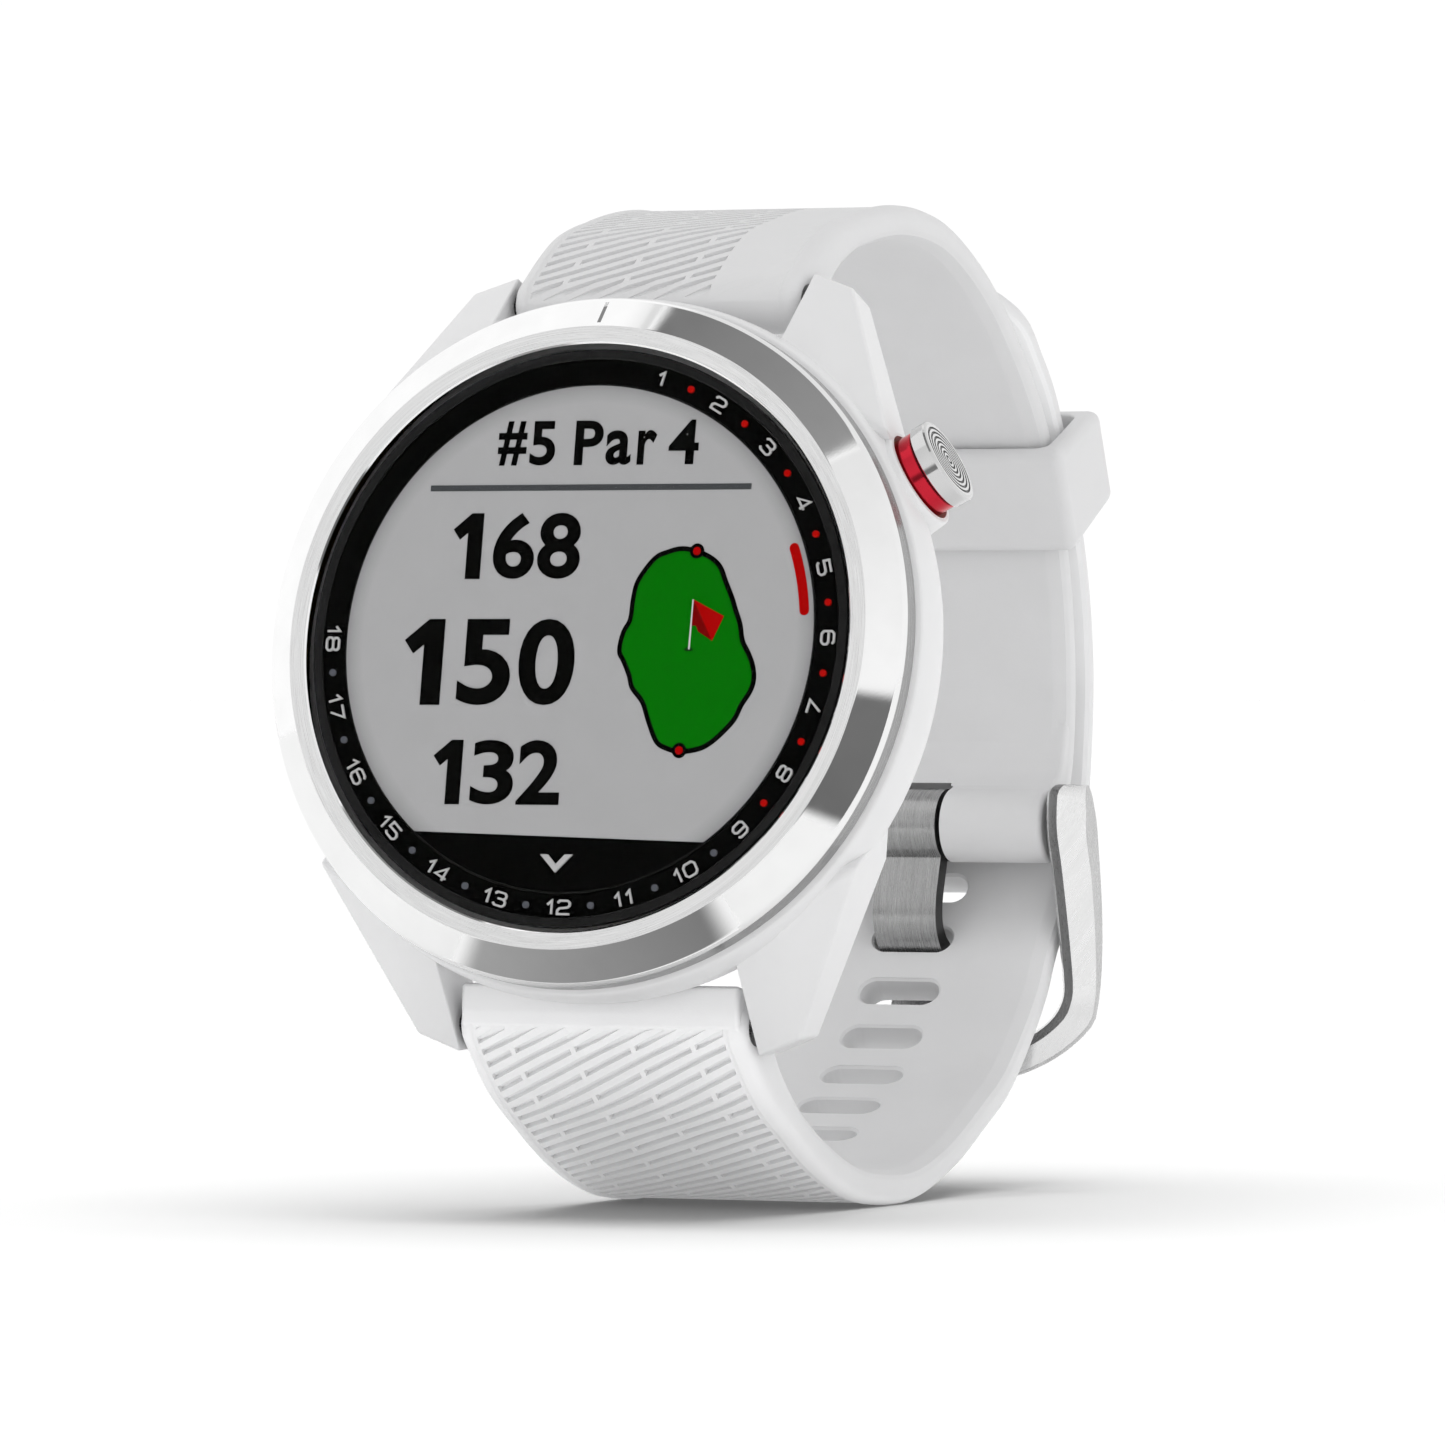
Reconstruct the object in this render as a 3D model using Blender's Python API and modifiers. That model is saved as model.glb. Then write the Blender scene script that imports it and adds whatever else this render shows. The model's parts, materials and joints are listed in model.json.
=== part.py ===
"""Golf GPS watch: a round case on a buckled two-piece strap, standing on its strap.

Everything is placed in the dial frame: X towards 3 o'clock, Y towards 12 o'clock and
Z straight out of the dial, with the origin at the middle of the display surface.
One empty, watch_stance, holds all of it and leans the watch back on its strap.
"""
import math

import bmesh
import bpy
from mathutils import Matrix, Vector

MM = 0.001

# Stance: the dial leans back, and the lowest strap point is on the floor.
LEAN_DEG = 10.0
STANCE_SHIFT = Vector((-0.21, -27.77, 35.41)) * MM

# Case, radii and depths behind the display surface.
CASE_R = 21.7
BEZEL_R = 21.17
BEZEL_BORE_R = 18.05
GLASS_R = 17.75
DISPLAY_R = 15.25
CAVITY_R = 17.0
CASE_BACK_DEPTH = 11.2
SCREW_CIRCLE_R = 14.6
PORT_UP = -7.7
PIN_PITCH = 1.55
GAP = 0.3

# Lugs and spring bars.
LUG_GAP_HALF = 10.0
RECESS_HALF = 9.93
BAR_UP = 22.4
BAR_BACK = 9.0
BAR_R = 0.8
BAR_TIP_R = 0.35
LUG_HOLE_R = 0.68
STRAP_EYE_R = 1.95
STRAP_BORE_R = 1.12

# Strap.
STRAP_HALF_WIDTH = 9.65
STRAP_THICK = 2.2
TAIL_THICK = 1.9
SLOT_HALF_LENGTH = 2.75
SLOT_HALF_HEIGHT = 0.98
SLOT_PITCH = 4.15
SLOTS_BEFORE = 5
SLOTS_AFTER = 6

# Strap centre lines as (back, up), from the spring bar outwards.
UPPER_LINE = ((9.0, 22.4), (13.2, 26.7), (20.6, 29.8), (27.4, 30.9), (33.2, 30.2), (39.8, 27.6),
              (47.3, 22.2), (52.2, 14.9), (54.7, 8.0), (55.4, 2.0), (54.6, -1.9))
LOWER_LINE = ((9.0, -22.4), (13.0, -25.6), (19.0, -28.1), (25.0, -29.4), (30.0, -29.4),
              (35.6, -28.4), (41.0, -25.9), (45.4, -22.9), (48.6, -20.5), (51.2, -17.5),
              (53.5, -14.1), (54.8, -11.0), (56.9, -7.0), (58.2, -2.5), (58.5, 2.0),
              (57.7, 8.8), (54.8, 16.0), (49.3, 23.5), (45.5, 26.6), (41.8, 29.0), (38.2, 30.6))
TONGUE_SLOT = (54.95, -10.7)
TAIL_START = 62.0
TIP_LENGTH = 7.0
STRAP_STEP = 2.6

# Buckle, whose bar runs along X. Its lines are (back, up) too.
BUCKLE_UP = -2.9
BUCKLE_BACK = 53.4
BUCKLE_EYE_R = 2.4
BUCKLE_BAR_R = 0.75
BUCKLE_BORE_R = 1.08
FRAME_INNER_HALF = 10.05
FRAME_OUTER_HALF = 12.1
FRAME_ROUND_HALF = 13.0
FRAME_ROUND_FLOOR = -19.7
FRAME_SIDE = ((50.5, -1.5), (50.8, -3.6), (51.9, -5.6), (53.1, -8.0), (54.3, -10.6),
              (55.3, -13.2), (55.2, -14.6), (54.2, -16.8), (52.8, -18.9), (53.4, -19.4),
              (54.7, -19.0), (56.1, -17.0), (57.1, -14.6), (57.6, -12.0), (57.5, -9.2),
              (56.9, -6.4), (55.7, -2.8), (54.4, -1.1), (52.6, -0.3), (51.2, -0.5))
FRAME_BAR_TOP = -16.8
TONGUE_HALF_WIDTH = 2.2
TONGUE_THICK = 1.15
TONGUE_LINE = ((53.2, -4.4), (52.9, -6.4), (52.75, -8.1), (53.05, -9.5), (53.85, -10.45),
               (54.8, -10.95), (55.75, -11.4), (56.65, -12.3), (56.9, -13.8), (56.5, -15.8),
               (55.75, -17.9), (55.2, -19.2))

# Keeper: a box-shaped loop on the strap. It slides about the strap's centre of curvature,
# (back, up), and its depths are distances from that centre.
CURVE_BACK = 20.4
CURVE_UP = -0.5
KEEPER_AT_DEG = 32.6
KEEPER_OUTER = (32.7, 40.5)
KEEPER_INNER = (33.75, 39.45)
KEEPER_REACH = ((-3.4, 3.6), (-2.6, 3.7))
KEEPER_INNER_HALF = 10.0
KEEPER_OUTER_HALF = 11.3

# Button at two o'clock.
BUTTON_ANGLE_DEG = 60.0
BUTTON_BACK = 6.4
BUTTON_FACE_R = 24.05
BUTTON_CAP_RADIUS = 2.72
BUTTON_RING_RADIUS = 2.58
STEM_R = 0.8


def at(across, up, back):
    """A point of the dial frame in metres, from millimetres across, up and behind the dial."""
    return Vector((across, up, -back)) * MM


# ---------------------------------------------------------------- scene and materials

def clear_scene():
    for old in list(bpy.data.objects):
        bpy.data.objects.remove(old, do_unlink=True)


def new_collection(name):
    group = bpy.data.collections.new(name)
    bpy.context.scene.collection.children.link(group)
    return group


clear_scene()
PARTS = new_collection("golf_gps_watch")
CUTTERS = new_collection("cutters")
STANCE = bpy.data.objects.new("watch_stance", None)
PARTS.objects.link(STANCE)
STANCE.rotation_euler = (math.radians(90.0 - LEAN_DEG), 0.0, 0.0)
STANCE.location = STANCE_SHIFT

MATERIALS = {
    "white_polymer": ((0.86, 0.86, 0.85), 0.42, 0.0),
    "silicone": ((0.80, 0.80, 0.79), 0.55, 0.0),
    "steel": ((0.72, 0.72, 0.72), 0.28, 1.0),
    "red_anodised": ((0.55, 0.03, 0.04), 0.25, 1.0),
    "glass": ((0.9, 0.9, 0.9), 0.03, 0.0),
    "dial_black": ((0.01, 0.01, 0.01), 0.3, 0.0),
    "display": ((0.42, 0.42, 0.42), 0.4, 0.0),
    "black_plastic": ((0.03, 0.03, 0.03), 0.5, 0.0),
    "circuit_green": ((0.02, 0.16, 0.07), 0.45, 0.0),
    "flex_amber": ((0.55, 0.24, 0.03), 0.4, 0.0),
    "battery_foil": ((0.55, 0.56, 0.58), 0.35, 1.0),
    "gold": ((0.8, 0.55, 0.2), 0.3, 1.0),
    "seal_rubber": ((0.04, 0.04, 0.04), 0.7, 0.0),
}


def material(name):
    found = bpy.data.materials.get(name)
    if found:
        return found
    colour, roughness, metallic = MATERIALS[name]
    made = bpy.data.materials.new(name)
    made.use_nodes = True
    shader = made.node_tree.nodes["Principled BSDF"]
    shader.inputs["Base Color"].default_value = (*colour, 1.0)
    shader.inputs["Roughness"].default_value = roughness
    shader.inputs["Metallic"].default_value = metallic
    return made


# ---------------------------------------------------------------- shape tools

def place(name, mesh, finish=None, parent=STANCE, smooth_deg=35.0):
    """Put a mesh, given in the dial frame, in the scene; without a finish it is a cutter."""
    obj = bpy.data.objects.new(name, mesh)
    obj.parent = parent
    if parent is not STANCE:
        obj.matrix_parent_inverse = Matrix.Translation(-parent.location)
    if finish:
        PARTS.objects.link(obj)
        mesh.materials.append(material(finish))
        mesh.shade_smooth()
        mesh.set_sharp_from_angle(angle=math.radians(smooth_deg))
    else:
        CUTTERS.objects.link(obj)
        obj.hide_render = True
        obj.display_type = 'WIRE'
    return obj


def mesh_from(bm, name):
    bmesh.ops.recalc_face_normals(bm, faces=bm.faces)
    if bm.calc_volume(signed=True) < 0.0:
        bmesh.ops.reverse_faces(bm, faces=bm.faces)
    mesh = bpy.data.meshes.new(name)
    bm.to_mesh(mesh)
    bm.free()
    return mesh


def pivot(name, location):
    """An empty on a joint's axis, which carries the pieces that move on it."""
    empty = bpy.data.objects.new(name, None)
    PARTS.objects.link(empty)
    empty.parent = STANCE
    empty.location = location
    return empty


def turned(name, profile, finish=None, segments=40, parent=STANCE):
    """A ring or disc turned about Z: profile is (radius, depth), down its outer side."""
    mesh = bpy.data.meshes.new(name)
    points = [at(radius, 0.0, depth) for radius, depth in profile]
    edges = [(i, i + 1) for i in range(len(points) - 1)]
    if profile[0][0] > 0.0:
        edges.append((len(points) - 1, 0))
    mesh.from_pydata(points, edges, [])
    obj = place(name, mesh, finish, parent)
    screw = obj.modifiers.new("turn", 'SCREW')
    screw.axis = 'Z'
    screw.steps = segments
    screw.render_steps = segments
    screw.use_merge_vertices = True
    screw.merge_threshold = 0.00001
    screw.use_smooth_shade = True
    return obj


def disc_profile(radius, front, back, chamfer=0.0):
    profile = [(0.0, front)]
    if chamfer:
        profile.append((radius - chamfer, front))
        profile.append((radius, front + chamfer))
    else:
        profile.append((radius, front))
    profile.append((radius, back))
    profile.append((0.0, back))
    return profile


def ring_profile(inner, outer, front, back):
    return [(inner, front), (outer, front), (outer, back), (inner, back)]


def rod(name, start, end, radius, finish=None, segments=20, parent=STANCE, end_radius=None):
    """A straight round rod between two points, a cone if end_radius differs."""
    bm = bmesh.new()
    run = end - start
    turn = run.to_track_quat('Z', 'Y').to_matrix().to_4x4()
    middle = Matrix.Translation((start + end) / 2)
    bmesh.ops.create_cone(bm, cap_ends=True, segments=segments, radius1=radius * MM,
                          radius2=(end_radius or radius) * MM, depth=run.length,
                          matrix=middle @ turn)
    return place(name, mesh_from(bm, name), finish, parent)


def block(name, low, high, finish=None, parent=STANCE, bevel=0.0):
    """A box between two corners, with its edges rounded by bevel millimetres."""
    bm = bmesh.new()
    size = high - low
    scale = Matrix.Diagonal((abs(size.x), abs(size.y), abs(size.z), 1.0))
    bmesh.ops.create_cube(bm, size=1.0, matrix=Matrix.Translation((low + high) / 2) @ scale)
    if bevel:
        bmesh.ops.bevel(bm, geom=bm.edges[:], offset=bevel * MM, segments=2, affect='EDGES')
    return place(name, mesh_from(bm, name), finish, parent)


def side_plate(name, outline, left, right, finish=None, parent=STANCE, bevel=0.0):
    """A (back, up) outline extruded across the watch from left to right."""
    bm = bmesh.new()
    face = bm.faces.new([bm.verts.new(at(left, up, back)) for back, up in outline])
    made = bmesh.ops.extrude_face_region(bm, geom=[face])
    moved = [v for v in made["geom"] if isinstance(v, bmesh.types.BMVert)]
    bmesh.ops.translate(bm, verts=moved, vec=Vector((right - left, 0.0, 0.0)) * MM)
    if bevel:
        bmesh.ops.bevel(bm, geom=bm.edges[:], offset=bevel * MM, segments=1, affect='EDGES')
    return place(name, mesh_from(bm, name), finish, parent)


def hull(name, points, finish=None):
    bm = bmesh.new()
    for point in points:
        bm.verts.new(point)
    bmesh.ops.convex_hull(bm, input=bm.verts[:])
    return place(name, mesh_from(bm, name), finish)


def loft(name, rings, finish=None, parent=STANCE):
    """A closed body through rings that have equal numbers of points."""
    bm = bmesh.new()
    loops = [[bm.verts.new(point) for point in ring] for ring in rings]
    count = len(loops[0])
    for near, far in zip(loops, loops[1:]):
        for i in range(count):
            j = (i + 1) % count
            bm.faces.new((near[i], near[j], far[j], far[i]))
    bm.faces.new(loops[0][::-1])
    bm.faces.new(loops[-1])
    return place(name, mesh_from(bm, name), finish, parent)


def combine(obj, tool, operation):
    step = obj.modifiers.new(operation.lower(), 'BOOLEAN')
    step.operation = operation
    step.solver = 'EXACT'
    step.object = tool
    return obj


def chamfer(obj, width, limit_deg=30.0, segments=1):
    step = obj.modifiers.new("edge", 'BEVEL')
    step.width = width * MM
    step.segments = segments
    step.limit_method = 'ANGLE'
    step.angle_limit = math.radians(limit_deg)
    step.use_clamp_overlap = True
    return obj


# ---------------------------------------------------------------- curves

def smooth_line(points, steps_each):
    """A Catmull-Rom curve through (back, up) points."""
    padded = [points[0], *points, points[-1]]
    line = []
    for i in range(len(points) - 1):
        a, b, c, d = (Vector(p) for p in padded[i:i + 4])
        for step in range(steps_each):
            t = step / steps_each
            line.append(0.5 * (2 * b + (c - a) * t + (2 * a - 5 * b + 4 * c - d) * t * t
                               + (3 * b - a - 3 * c + d) * t ** 3))
    line.append(Vector(points[-1]))
    return line


def even_line(points, spacing):
    """The curve through points, cut into equal steps close to spacing millimetres."""
    fine = smooth_line(points, 24)
    lengths = [0.0]
    for p, q in zip(fine, fine[1:]):
        lengths.append(lengths[-1] + (q - p).length)
    count = max(2, round(lengths[-1] / spacing))
    line = []
    index = 0
    for k in range(count + 1):
        goal = lengths[-1] * k / count
        while index < len(fine) - 2 and lengths[index + 1] < goal:
            index += 1
        part = (goal - lengths[index]) / (lengths[index + 1] - lengths[index])
        line.append(fine[index].lerp(fine[index + 1], part))
    return line, lengths[-1]


def outward(line, k):
    """The unit (back, up) direction away from the wrist at a point of a strap's line."""
    run = line[min(k + 1, len(line) - 1)] - line[max(k - 1, 0)]
    normal = Vector((run.y, -run.x)).normalized()
    middle = Vector((30.0, 0.0))
    return normal if normal.dot(line[k] - middle) > 0.0 else -normal


def strap_ring(centre, normal, half_width, thickness):
    """A ten-sided section: flat inside, rounded shoulders on the outer side."""
    half = thickness / 2
    corner = min(1.0, 0.45 * thickness)
    right = ((half_width - 0.6, -half), (half_width, -half + 0.5), (half_width, half - corner),
             (half_width - 0.3 * corner, half - 0.3 * corner), (half_width - corner, half))
    left = [(-across, depth) for across, depth in reversed(right)]
    ring = []
    for across, depth in (*right, *left):
        spot = centre + normal * depth
        ring.append(at(across, spot.y, spot.x))
    return ring


def strap_body(name, points, thickness_at, half_width_at, finish):
    """A strap lofted along its line; thickness and width depend on the distance along it."""
    line, length = even_line(points, STRAP_STEP)
    rings = []
    for k, centre in enumerate(line):
        along = length * k / (len(line) - 1)
        rings.append(strap_ring(centre, outward(line, k), half_width_at(along, length),
                                thickness_at(along, length)))
    return loft(name, rings, finish)


def blend_between(value, start, end, low, high):
    """low before start, high after end, and a straight change between them."""
    share = min(1.0, max(0.0, (value - start) / (end - start)))
    return low + (high - low) * share


# ---------------------------------------------------------------- case and display

def make_bezel():
    profile = [(BEZEL_BORE_R, -0.49), (19.15, -0.49), (20.95, 0.8), (BEZEL_R, 1.1),
               (BEZEL_R, 2.4), (19.6, 2.4), (19.6, 1.3), (BEZEL_BORE_R, 1.3)]
    bezel = turned("bezel_ring", profile, "steel", segments=72)
    notch = block("bezel_mark_cut", at(-0.12, 19.3, -2.0), at(0.12, 20.8, 0.35))
    combine(bezel, notch, 'DIFFERENCE')


def make_display_stack():
    turned("lens_glass", disc_profile(GLASS_R, -0.42, 0.18, 0.12), "glass", segments=72)
    turned("dial_ring", ring_profile(15.55, 17.5, 0.48, 1.0), "dial_black")
    turned("display_panel", disc_profile(DISPLAY_R, 0.48, 1.4), "display")
    turned("backlight_sheet", disc_profile(14.9, 1.7, 2.1), "white_polymer")
    turned("display_frame", disc_profile(15.9, 2.4, 3.0), "black_plastic")
    turned("lens_gasket", ring_profile(18.3, 19.2, 1.6, 1.9), "seal_rubber")
    ribbon = ((1.0, -15.6), (1.0, -16.05), (1.35, -16.63), (2.75, -16.63), (3.35, -16.1),
              (3.35, -13.2), (3.15, -13.2), (3.15, -16.0), (2.68, -16.43), (1.45, -16.43),
              (1.2, -15.95), (1.2, -15.6))
    side_plate("display_flex", ribbon, -4.0, 4.0, "flex_amber")
    return block("flex_room", at(-4.4, -17.5, 0.9), at(4.4, -15.4, 3.5))


def lug_points(across_sign, up_sign):
    """Corners of one faceted lug as (across, up, back): front ridge, tip, then its back."""
    corners = ((LUG_GAP_HALF, 19.2, 4.4), (LUG_GAP_HALF, 24.2, 8.75), (12.8, 23.15, 8.4),
               (17.9, 13.4, 3.4), (12.9, 16.7, 3.3), (LUG_GAP_HALF, 16.4, 4.4),
               (15.0, 13.0, 3.6), (LUG_GAP_HALF, 17.4, 9.0), (15.6, 13.2, 9.0),
               (18.2, 10.2, 7.2), (LUG_GAP_HALF, 23.6, 11.6), (12.7, 22.6, 11.3),
               (17.6, 12.0, 8.6))
    return [at(across_sign * x, up_sign * up, back) for x, up, back in corners]


def button_axis():
    angle = math.radians(BUTTON_ANGLE_DEG)
    return Vector((math.sin(angle), math.cos(angle), 0.0))


def on_button_axis(radial):
    """A point on the button's axis at a distance from the middle of the watch."""
    return button_axis() * radial * MM + at(0.0, 0.0, BUTTON_BACK)


def make_case(flex_room):
    profile = [(CAVITY_R - 0.8, 2.2), (19.3, 2.2), (19.3, 2.7), (21.1, 2.7), (21.5, 3.0),
               (CASE_R, 4.4), (21.46, 5.9), (20.7, 7.6), (19.7, 8.7), (CAVITY_R - 0.8, 8.7)]
    case = turned("case_middle", profile, "white_polymer", segments=72)
    for up_sign in (1, -1):
        recess = block("strap_recess", at(-RECESS_HALF, up_sign * 20.0, 6.4),
                       at(RECESS_HALF, up_sign * 26.0, 12.0))
        combine(case, recess, 'DIFFERENCE')
    for across_sign in (1, -1):
        for up_sign in (1, -1):
            lug = hull("lug_form", lug_points(across_sign, up_sign))
            combine(case, lug, 'UNION')
    boss = rod("button_boss", on_button_axis(19.4), on_button_axis(21.95), 3.45,
               segments=32, end_radius=3.2)
    combine(case, boss, 'UNION')
    combine(case, turned("case_cavity", disc_profile(CAVITY_R, 1.0, 12.0)), 'DIFFERENCE')
    combine(case, rod("button_bore", on_button_axis(15.0), on_button_axis(23.0), 1.9,
                      segments=24), 'DIFFERENCE')
    combine(case, rod("button_seat", on_button_axis(20.6), on_button_axis(23.0), 2.86,
                      segments=28), 'DIFFERENCE')
    for up_sign in (1, -1):
        holes = rod("spring_bar_holes", at(-11.7, up_sign * BAR_UP, BAR_BACK),
                    at(11.7, up_sign * BAR_UP, BAR_BACK), LUG_HOLE_R)
        combine(case, holes, 'DIFFERENCE')
    combine(case, flex_room, 'DIFFERENCE')
    return case


def make_case_back():
    profile = [(0.0, 9.0), (18.9, 9.0), (18.9, 9.7), (17.9, 10.7), (17.2, CASE_BACK_DEPTH),
               (0.0, CASE_BACK_DEPTH)]
    back = turned("case_back", profile, "white_polymer")
    turned("back_gasket", ring_profile(15.9, 16.7, 8.4, 8.7), "seal_rubber")
    for index in range(4):
        angle = math.radians(45 + 90 * index)
        x = SCREW_CIRCLE_R * math.cos(angle)
        y = SCREW_CIRCLE_R * math.sin(angle)
        combine(back, rod("screw_pocket", at(x, y, 10.1), at(x, y, 12.0), 1.5), 'DIFFERENCE')
        head = rod(f"case_screw_{index + 1}", at(x, y, 10.4), at(x, y, 11.05), 1.15, "steel")
        combine(head, block("screw_slot", at(x - 0.16, y - 0.8, 10.8), at(x + 0.16, y + 0.8, 12)),
                'DIFFERENCE')
    pocket = block("port_pocket", at(-3.6, -9.3, 10.0), at(3.6, -6.1, 12.0), bevel=0.5)
    combine(back, pocket, 'DIFFERENCE')
    seat = block("charge_port_seat", at(-3.3, -9.0, 10.3), at(3.3, -6.4, 10.9),
                 "black_plastic", bevel=0.2)
    for index in range(4):
        x = (index - 1.5) * PIN_PITCH
        combine(seat, rod("pin_hole", at(x, PORT_UP, 10.55), at(x, PORT_UP, 12.0), 0.55,
                          segments=16), 'DIFFERENCE')
        rod(f"charge_pin_{index + 1}", at(x, PORT_UP, 10.7), at(x, PORT_UP, 11.05), 0.3, "gold",
            segments=12)


def make_electronics():
    board = turned("main_board", disc_profile(15.6, 3.5, 4.2), "circuit_green")
    board_notch = block("board_notch", at(-3.0, 14.6, 3.0), at(3.0, 17.0, 5.0))
    combine(board, board_notch, 'DIFFERENCE')
    block("shield_can", at(-12.5, -3.0, 4.5), at(-3.5, 8.0, 5.6), "steel", bevel=0.25)
    block("gps_chip", at(-2.4, 9.0, 4.5), at(3.4, 13.4, 5.3), "black_plastic", bevel=0.1)
    block("battery", at(-2.2, -12.4, 4.6), at(10.0, 2.4, 8.3), "battery_foil", bevel=0.5)
    motor = rod("vibration_motor", at(-8.0, -8.2, 4.5), at(-8.0, -8.2, 7.2), 4.0, "steel",
                segments=32)
    chamfer(motor, 0.2)
    antenna = turned("gps_antenna", ring_profile(16.0, 16.6, 3.4, 7.6), "gold")
    antenna_gap = block("antenna_gap", at(-4.8, -20.0, 2.0), at(20.0, 20.0, 9.0))
    combine(antenna, antenna_gap, 'DIFFERENCE')


def make_button():
    """Cap, ring, stem, seal and clip, which travel together, and the switch they press."""
    axis_empty = pivot("button_axis", on_button_axis(BUTTON_FACE_R))

    def on_axis(name, start, end, radius, finish=None, segments=36):
        parent = axis_empty if finish else STANCE
        return rod(name, on_button_axis(start), on_button_axis(end), radius, finish,
                   segments=segments, parent=parent)

    def bored(obj, bore_name, start, end, radius):
        return combine(obj, on_axis(bore_name, start, end, radius, segments=24), 'DIFFERENCE')

    cap = on_axis("button_cap", 22.95, BUTTON_FACE_R, BUTTON_CAP_RADIUS, "steel", 36)
    chamfer(cap, 0.18, segments=2)
    bored(cap, "cap_socket", 22.0, 23.45, STEM_R + GAP)
    ring = on_axis("button_ring", 21.6, 22.65, BUTTON_RING_RADIUS, "red_anodised", 32)
    bored(ring, "ring_bore", 21.0, 24.0, STEM_R + GAP)
    on_axis("button_stem", 15.9, 23.15, STEM_R, "steel", 24)
    seal = on_axis("button_seal", 18.9, 19.5, 1.62, "seal_rubber", 28)
    bored(seal, "seal_bore", 18.0, 20.0, STEM_R + 0.25)
    clip = on_axis("button_clip", 16.3, 16.65, 1.75, "steel", 28)
    bored(clip, "clip_bore", 16.0, 17.0, STEM_R + 0.25)
    mouth = block("clip_mouth", at(0.0, -0.7, BUTTON_BACK + 0.5), at(30.0, 0.7, BUTTON_BACK + 3.0))
    mouth.rotation_euler.z = math.radians(90.0 - BUTTON_ANGLE_DEG)
    combine(clip, mouth, 'DIFFERENCE')
    rod("button_switch", on_button_axis(13.0), on_button_axis(15.0), 2.0, "black_plastic",
        segments=4)


# ---------------------------------------------------------------- straps and their bars

def bar_rod(name, left, right, radius, up, back, finish=None, segments=20, parent=STANCE):
    """A rod across the watch."""
    return rod(name, at(left, up, back), at(right, up, back), radius, finish,
               segments=segments, parent=parent)


def make_spring_bar(label, up_sign):
    """A quick-release bar: a tube with a fixed tip, and a sprung tip with its lever."""
    up = up_sign * BAR_UP
    tube = bar_rod(f"{label}_bar_tube", -9.1, 9.1, BAR_R, up, BAR_BACK, "steel")
    tip = bar_rod("bar_fixed_tip", -11.3, -9.0, BAR_TIP_R, up, BAR_BACK, segments=16)
    combine(tube, tip, 'UNION')
    combine(tube, bar_rod("bar_bore", 5.4, 9.6, 0.6, up, BAR_BACK, segments=16), 'DIFFERENCE')
    window = block("bar_window", at(5.8, up - 2.0, BAR_BACK), at(8.5, up + 2.0, BAR_BACK + 2.0))
    combine(tube, window, 'DIFFERENCE')
    empty = pivot(f"{label}_release_axis", at(7.7, up, BAR_BACK))
    pin = bar_rod(f"{label}_bar_pin", 7.0, 11.3, BAR_TIP_R, up, BAR_BACK, "steel",
                  segments=16, parent=empty)
    lever = rod("bar_lever", at(7.7, up, BAR_BACK), at(7.7, up - up_sign * 1.0, BAR_BACK + 2.3),
                0.33, segments=16)
    combine(pin, lever, 'UNION')


def cut_lever_room(strap, up_sign):
    """The opening under the strap's end through which the release lever is reached."""
    low = at(5.7, up_sign * (BAR_UP - 2.6), BAR_BACK + 0.1)
    high = at(8.4, up_sign * (BAR_UP + 0.6), BAR_BACK + 3.2)
    combine(strap, block("lever_room", low, high), 'DIFFERENCE')


def add_eye(strap, up, back, radius, bore, half_width):
    """A round eye across the strap's end, bored for its bar."""
    combine(strap, bar_rod("strap_eye", -half_width, half_width, radius, up, back,
                           segments=32), 'UNION')
    combine(strap, bar_rod("eye_bore", -half_width - 1.0, half_width + 1.0, bore, up, back),
            'DIFFERENCE')


def lug_end_thickness(along):
    return blend_between(along, 1.5, 9.0, 3.1, STRAP_THICK)


def make_upper_strap():
    def thickness_at(along, length):
        return lug_end_thickness(along)

    def half_width_at(along, length):
        return STRAP_HALF_WIDTH

    strap = strap_body("upper_strap", UPPER_LINE, thickness_at, half_width_at, "silicone")
    add_eye(strap, BAR_UP, BAR_BACK, STRAP_EYE_R, STRAP_BORE_R, STRAP_HALF_WIDTH - 0.03)
    add_eye(strap, BUCKLE_UP, BUCKLE_BACK, BUCKLE_EYE_R, BUCKLE_BORE_R, STRAP_HALF_WIDTH - 0.03)
    cut_lever_room(strap, 1)
    tongue_room = block("tongue_room", at(-2.55, BUCKLE_UP - 4.0, 49.0), at(2.55, -0.15, 60.0))
    combine(strap, tongue_room, 'DIFFERENCE')


def slot_cutter(centre, normal):
    """A stadium-shaped plug through the strap, long side across it."""
    along = Vector((-normal.y, normal.x))
    rings = []
    for depth in (-2.0, 2.0):
        ring = []
        for k in range(12):
            angle = math.radians(360.0 * (k + 0.5) / 12)
            flat = SLOT_HALF_LENGTH - SLOT_HALF_HEIGHT
            across = SLOT_HALF_HEIGHT * math.cos(angle) + math.copysign(flat, math.cos(angle))
            spot = centre + normal * depth + along * SLOT_HALF_HEIGHT * math.sin(angle)
            ring.append(at(across, spot.y, spot.x))
        rings.append(ring)
    return loft("slot_plug", rings)


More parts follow.
